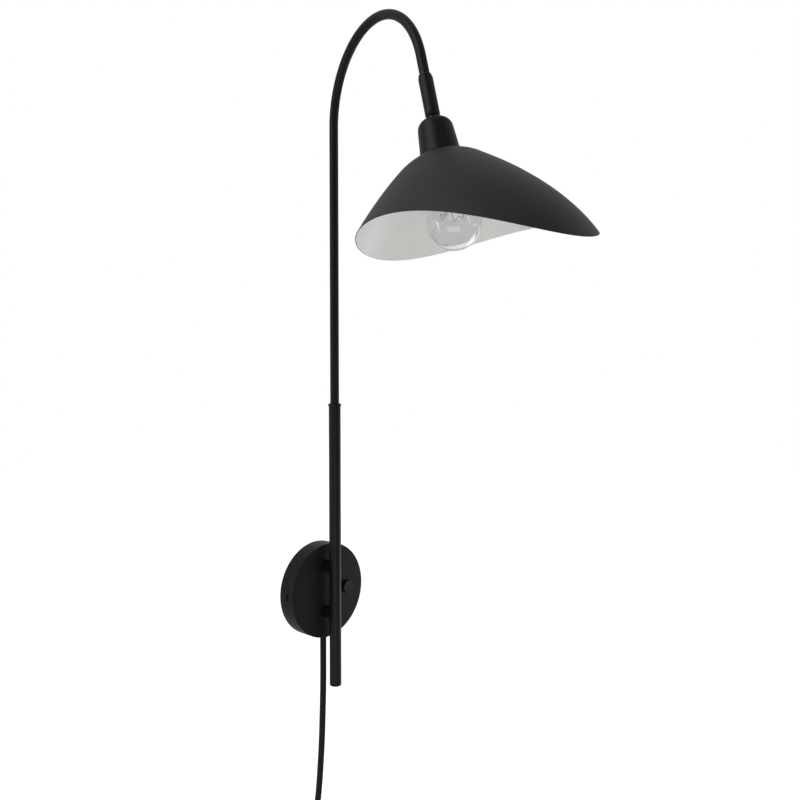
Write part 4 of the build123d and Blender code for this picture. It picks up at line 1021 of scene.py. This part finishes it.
@dataclass
class Head:
    """The cap, the shade and the bulb, which turn and nod together.

    ways holds the reach, depth, bend and catching-up drop of the shade's front, back and
    side. rim holds the coefficients of the rim's drop, by powers of the distance forward.
    """

    hanging: HangingAxis
    cap_start: float = 81.6
    neck_start: float = 119.0
    cap_foot: float = 128.6
    cap_wall: float = 1.4
    crown_radius: float = 26.0
    crown_from: float = 4.8
    crown_to: float = 15.0
    shoulder: tuple[float, float] = (20.05, 12.9)
    foot_radius: float = 22.9
    stud_hole: float = 3.55
    neck_radius: float = 22.0
    shade_wall: float = 1.2
    shade_bore: float = 18.2
    shade_lean: float = 4.5
    lean_height: float = 84.0
    ways: tuple = (
        (209.2, 251.4, 2.08, 25.0),
        (199.4, 162.7, 1.3, 50.0),
        (121.5, 156.6, 1.65, 28.0),
    )
    rim: tuple = (89.0, 0.1627, 0.00115, 0.00000104)
    rim_round: float = 0.35
    rim_search: tuple[float, float] = (10.0, 200.0)
    rim_halvings: int = 40
    neck_blend: float = 30.0
    columns: int = 288
    outer_rows: int = 72
    inner_rows: int = 44
    bulb_radius: float = 30.0
    bulb_centre: float = 209.0
    bulb_waist: float = -40.0
    bulb_foot: tuple[float, float] = (13.2, 160.7)
    glass_wall: float = 0.8
    wire_radius: float = 0.28
    thread_pitch: float = 2.5
    thread_depth: float = 0.7

    def cap_profile(self, inset: float) -> np.ndarray:
        """Returns the cap's section: a flat top, a crown, a shoulder and a taper.

        Args:
            inset: how far the section lies inside the outer one.

        Returns:
            Points of (radius, height).
        """
        middle = self.cap_start + math.sqrt(self.crown_radius**2 - self.crown_from**2)
        top, reach = self.cap_start + inset, self.crown_radius - inset
        first = math.degrees(math.asin((middle - top) / reach))
        last = math.degrees(math.acos(self.crown_to / self.crown_radius))
        round_top = arc((0, middle), reach, -first, -last, 18)
        tangent = math.radians(-last)
        heading = np.array([-math.sin(tangent), math.cos(tangent)])
        shoulder_end = np.array([self.shoulder[0] - inset, self.cap_start + self.shoulder[1]])
        shoulder = tangent_arc(round_top[-1], heading, shoulder_end, 18)
        hole, foot = [(self.stud_hole, top)], [(self.foot_radius - inset, self.cap_foot)]
        return np.concatenate([hole, round_top, shoulder, foot])

    def cap(self) -> Piece:
        """Turns the cap, hollow, with a small hole for the stud."""
        outside, inside = self.cap_profile(0.0), self.cap_profile(self.cap_wall)
        profile = np.concatenate([outside, inside[::-1]])
        return lathe("holder_cover", self.hanging.axes, profile, ring=True, sides=160)

    def shade_axes(self) -> Axes:
        """The shade's own frame, which leans back from the cap's axis."""
        lean = math.radians(self.shade_lean)
        down, forward = self.hanging.down, self.hanging.forward
        along = down * math.cos(lean) - forward * math.sin(lean)
        across = forward * math.cos(lean) + down * math.sin(lean)
        knee = self.hanging.start + down * self.lean_height * MM
        return Axes(knee + along * (self.neck_start - self.lean_height) * MM, across, along)

    def section(
        self, drop: np.ndarray, angle: np.ndarray, inset: float
    ) -> tuple[np.ndarray, np.ndarray]:
        """Returns where the shade's wall lies, measured from its own axis.

        Each reach is neck + (R - neck)(1 - (1 - drop / H)^n), less the inset measured level.
        Under the cap's foot it starts from the neck and catches up with that curve at its
        own drop. The front and back reach give an ellipse's centre and half-length, and the
        side reach its half-width.

        Args:
            drop: how far below the neck.
            angle: the angle round the ellipse.
            inset: how far inside the outer face.

        Returns:
            Distances forward and sideways.
        """
        neck, start = self.neck_radius, self.cap_foot - self.neck_start
        sizes = []
        for reach, depth, bend, caught_up in self.ways:
            left = np.clip(1 - drop / depth, 0.0, 1.0)
            slope = (reach - neck) * bend / depth * left ** (bend - 1)
            early = np.clip((caught_up - drop) / (caught_up - start), 0, 1) ** 2
            short = (reach - neck) * (1 - (1 - start / depth) ** bend) * early
            grown = neck + (reach - neck) * (1 - left**bend) - short
            sizes.append(grown - inset * np.sqrt(1 + slope**2))
        front, back, side = sizes
        return (front - back) / 2 + (front + back) / 2 * np.cos(angle), side * np.sin(angle)

    def rim_drop(self, angle: np.ndarray, inset: float) -> np.ndarray:
        """Finds the drop at which the wall meets the rim's cubic, by halving an interval."""
        low, high = (np.full(angle.shape, end) for end in self.rim_search)
        for _ in range(self.rim_halvings):
            middle = (low + high) / 2
            forward = self.section(middle, angle, inset)[0]
            below = middle > np.polyval(self.rim[::-1], forward)
            low, high = np.where(below, low, middle), np.where(below, middle, high)
        return (low + high) / 2

    def wall(self, drop: np.ndarray, angle: np.ndarray, inset: float) -> np.ndarray:
        """Returns points of the shade's wall, which meets the cap's level foot at its top."""
        axes, level = self.shade_axes(), self.hanging.axes
        forward, side = self.section(drop, angle, inset)
        spots = axes.place(forward, side, drop)
        round_neck = (self.neck_radius * np.cos(angle), self.neck_radius * np.sin(angle))
        start = self.cap_foot - self.neck_start
        wanted = level.place(*round_neck, np.full(angle.shape, self.cap_foot))
        tilt = wanted - axes.place(*round_neck, np.full(angle.shape, start))
        fade = np.clip((self.neck_blend - drop) / (self.neck_blend - start), 0, 1) ** 2
        return spots + tilt * fade[..., None]

    def face(self, rows: int, angle: np.ndarray, inset: float) -> np.ndarray:
        """Returns rows of points of one face of the shade, from its neck to its rim."""
        top = self.cap_foot - self.neck_start + inset
        share = np.linspace(0, 1, rows)[:, None] ** 1.5
        return self.wall(top + share * (self.rim_drop(angle, inset) - top), angle, inset)

    def shade(self) -> Piece:
        """Makes the shade: black outside and on half its rounded rim, white inside."""
        angle = np.linspace(0, TURN, self.columns, endpoint=False)
        outer = self.face(self.outer_rows, angle, 0.0)
        inner = self.face(self.inner_rows, angle, self.shade_wall)[::-1]
        down = self.shade_axes().along * MM
        bead = (outer[-1] + inner[0]) / 2 + down * self.rim_round
        before, after = (edge * 0.8 + bead * 0.2 + down * 0.1 for edge in (outer[-1], inner[0]))
        bore = self.shade_bore * np.stack([np.cos(angle), np.sin(angle)])
        heights = (self.cap_foot, self.cap_foot + self.shade_wall)
        top, low = (self.hanging.axes.place(*bore, height)[None] for height in heights)
        rows = np.concatenate([top, outer, [before, bead, after], inner, low])
        white = np.arange(len(rows)) > self.outer_rows + 1
        white[-1] = False
        return surface("shade_shell", rows, wrap_rows=True, second_finish=white, sharp_angle=60)

    def holder_skirt(self) -> Piece:
        """Turns the holder's skirt, with the ribs of its outside thread."""
        lip, radius, bore = 19.5, 17.9, 13.8
        seat, top, end = self.neck_start, self.neck_start - 4, 159.0
        height = np.linspace(seat + 6, end - 2.5, 120)
        ribs = radius - self.thread_depth / 2 * (1 + np.cos(TURN * height / self.thread_pitch))
        threads = np.stack([ribs, height], axis=-1)
        before = [
            (0, top, 0), (lip, top, 0.5), (lip, seat, 0), (radius, seat, 0),
            (radius, seat + 5.5, 0),
        ]
        after = [
            (radius, end - 2, 0), (radius, end, 0.8), (bore, end, 0.8), (bore, seat, 0),
            (0, seat, 0),
        ]
        profile = np.concatenate([rounded(before), threads, rounded(after)])
        return lathe("holder_sleeve", self.hanging.axes, profile)

    def bulb(self) -> Piece:
        """Turns the bulb's thin glass: a sphere that runs into a waisted neck."""
        lines = []
        for inset in (0.0, self.glass_wall):
            reach = self.bulb_radius - inset
            globe = arc((0, self.bulb_centre), reach, 90, self.bulb_waist, 60)
            globe[0, 0] = 0.0
            waist = math.radians(self.bulb_waist)
            heading = np.array([math.sin(waist), -math.cos(waist)])
            foot = np.array([self.bulb_foot[0] - inset, self.bulb_foot[1]])
            lines.append(np.concatenate([globe, tangent_arc(globe[-1], heading, foot, 24)]))
        profile = np.concatenate([lines[0], lines[1][::-1]])
        return lathe("bulb_envelope", self.hanging.axes, profile, sides=128)

    def stem(self) -> Piece:
        """Turns the glass stem: a flare at its foot, a thin rod and a button on top."""
        foot = 160.6
        corners = [
            (0, foot, 0), (12.1, foot, 0), (11.6, foot + 0.8, 0.3), (4.2, foot + 7.5, 4),
            (2.6, foot + 14, 6), (2.4, foot + 27, 2), (3.2, foot + 29.5, 1.2),
            (2.6, foot + 32, 0.8), (0, foot + 32, 0),
        ]
        return turned("bulb_inner_stem", self.hanging.axes, corners, sides=64)

    def filament(self) -> Piece:
        """Bends the lamp's wires: a zigzag that runs three quarters round the stem.

        The zigzag lies on a circle round the axis, and its ends run down to the stem.

        Returns:
            The wires.
        """
        foot, height, lift, radius, stem_radius = 192.4, 199.8, 2.4, 13.0, 1.6
        bends, half_sweep = 11, 140
        angles = np.pad(np.radians(np.linspace(-half_sweep, half_sweep, bends)), 1, mode="edge")
        radii = np.pad(np.full(bends, radius), 1, constant_values=stem_radius)
        heights = height + lift * np.where(np.arange(bends) % 2, -1.0, 1.0)
        levels = np.pad(heights, 1, constant_values=foot)
        axes = self.hanging.axes
        corners = axes.place(radii * np.cos(angles), radii * np.sin(angles), levels)
        share = np.linspace(0, 1, 12, endpoint=False)[None, :, None]
        line = (corners[:-1, None] + (corners[1:] - corners[:-1])[:, None] * share).reshape(-1, 3)
        kernel = np.array([0.25, 0.5, 0.25])
        soft = np.stack([np.convolve(part, kernel, "valid") for part in line.T], axis=-1)
        line = np.concatenate([line[:1], soft, corners[-1:]])
        reference = unit(axes.along + axes.across * 0.013)
        return tube("filament_wires", line, reference, self.wire_radius * MM, 8)

    def build(self) -> None:
        """Builds the head's visible pieces."""
        fit_out(self.cap(), "head", "black_paint", ["cap"])
        coats = [FINISHES.shade_black, FINISHES.shade_white]
        fit_out(self.shade(), "head", "black_paint", ["shade"], coats)
        fit_out(self.holder_skirt(), "head", "black_plastic", ["holder_skirt"])
        fit_out(self.bulb(), "head", "clear_glass", ["bulb_glass"])
        fit_out(self.stem(), "head", "clear_glass", ["bulb_stem"])
        fit_out(self.filament(), "head", "tungsten", ["filament"])


# ---- Carried-over nodes --------------------------------------------------------------


def dress_nodes() -> None:
    """Gives every CAD node the finish of its slot in the record."""
    for entry in frame["record"]["subparts"]:
        mesh = frame["nodes"][entry["node"]].data
        material = getattr(FINISHES, entry["material_slot"]).material()
        if not mesh.materials:
            mesh.materials.append(material)
        for number in range(len(mesh.materials)):
            mesh.materials[number] = material


def main() -> None:
    """Builds the scene: the camera and the cord first, then the lamp from the wall out."""
    logging.basicConfig(level=logging.INFO, format="%(message)s")
    Studio().build()
    Cord().build()
    dress_nodes()
    WallSide().build()
    hanging = HangingAxis()
    Arm(hanging).build()
    Head(hanging).build()


if __name__ == "__main__":
    main()
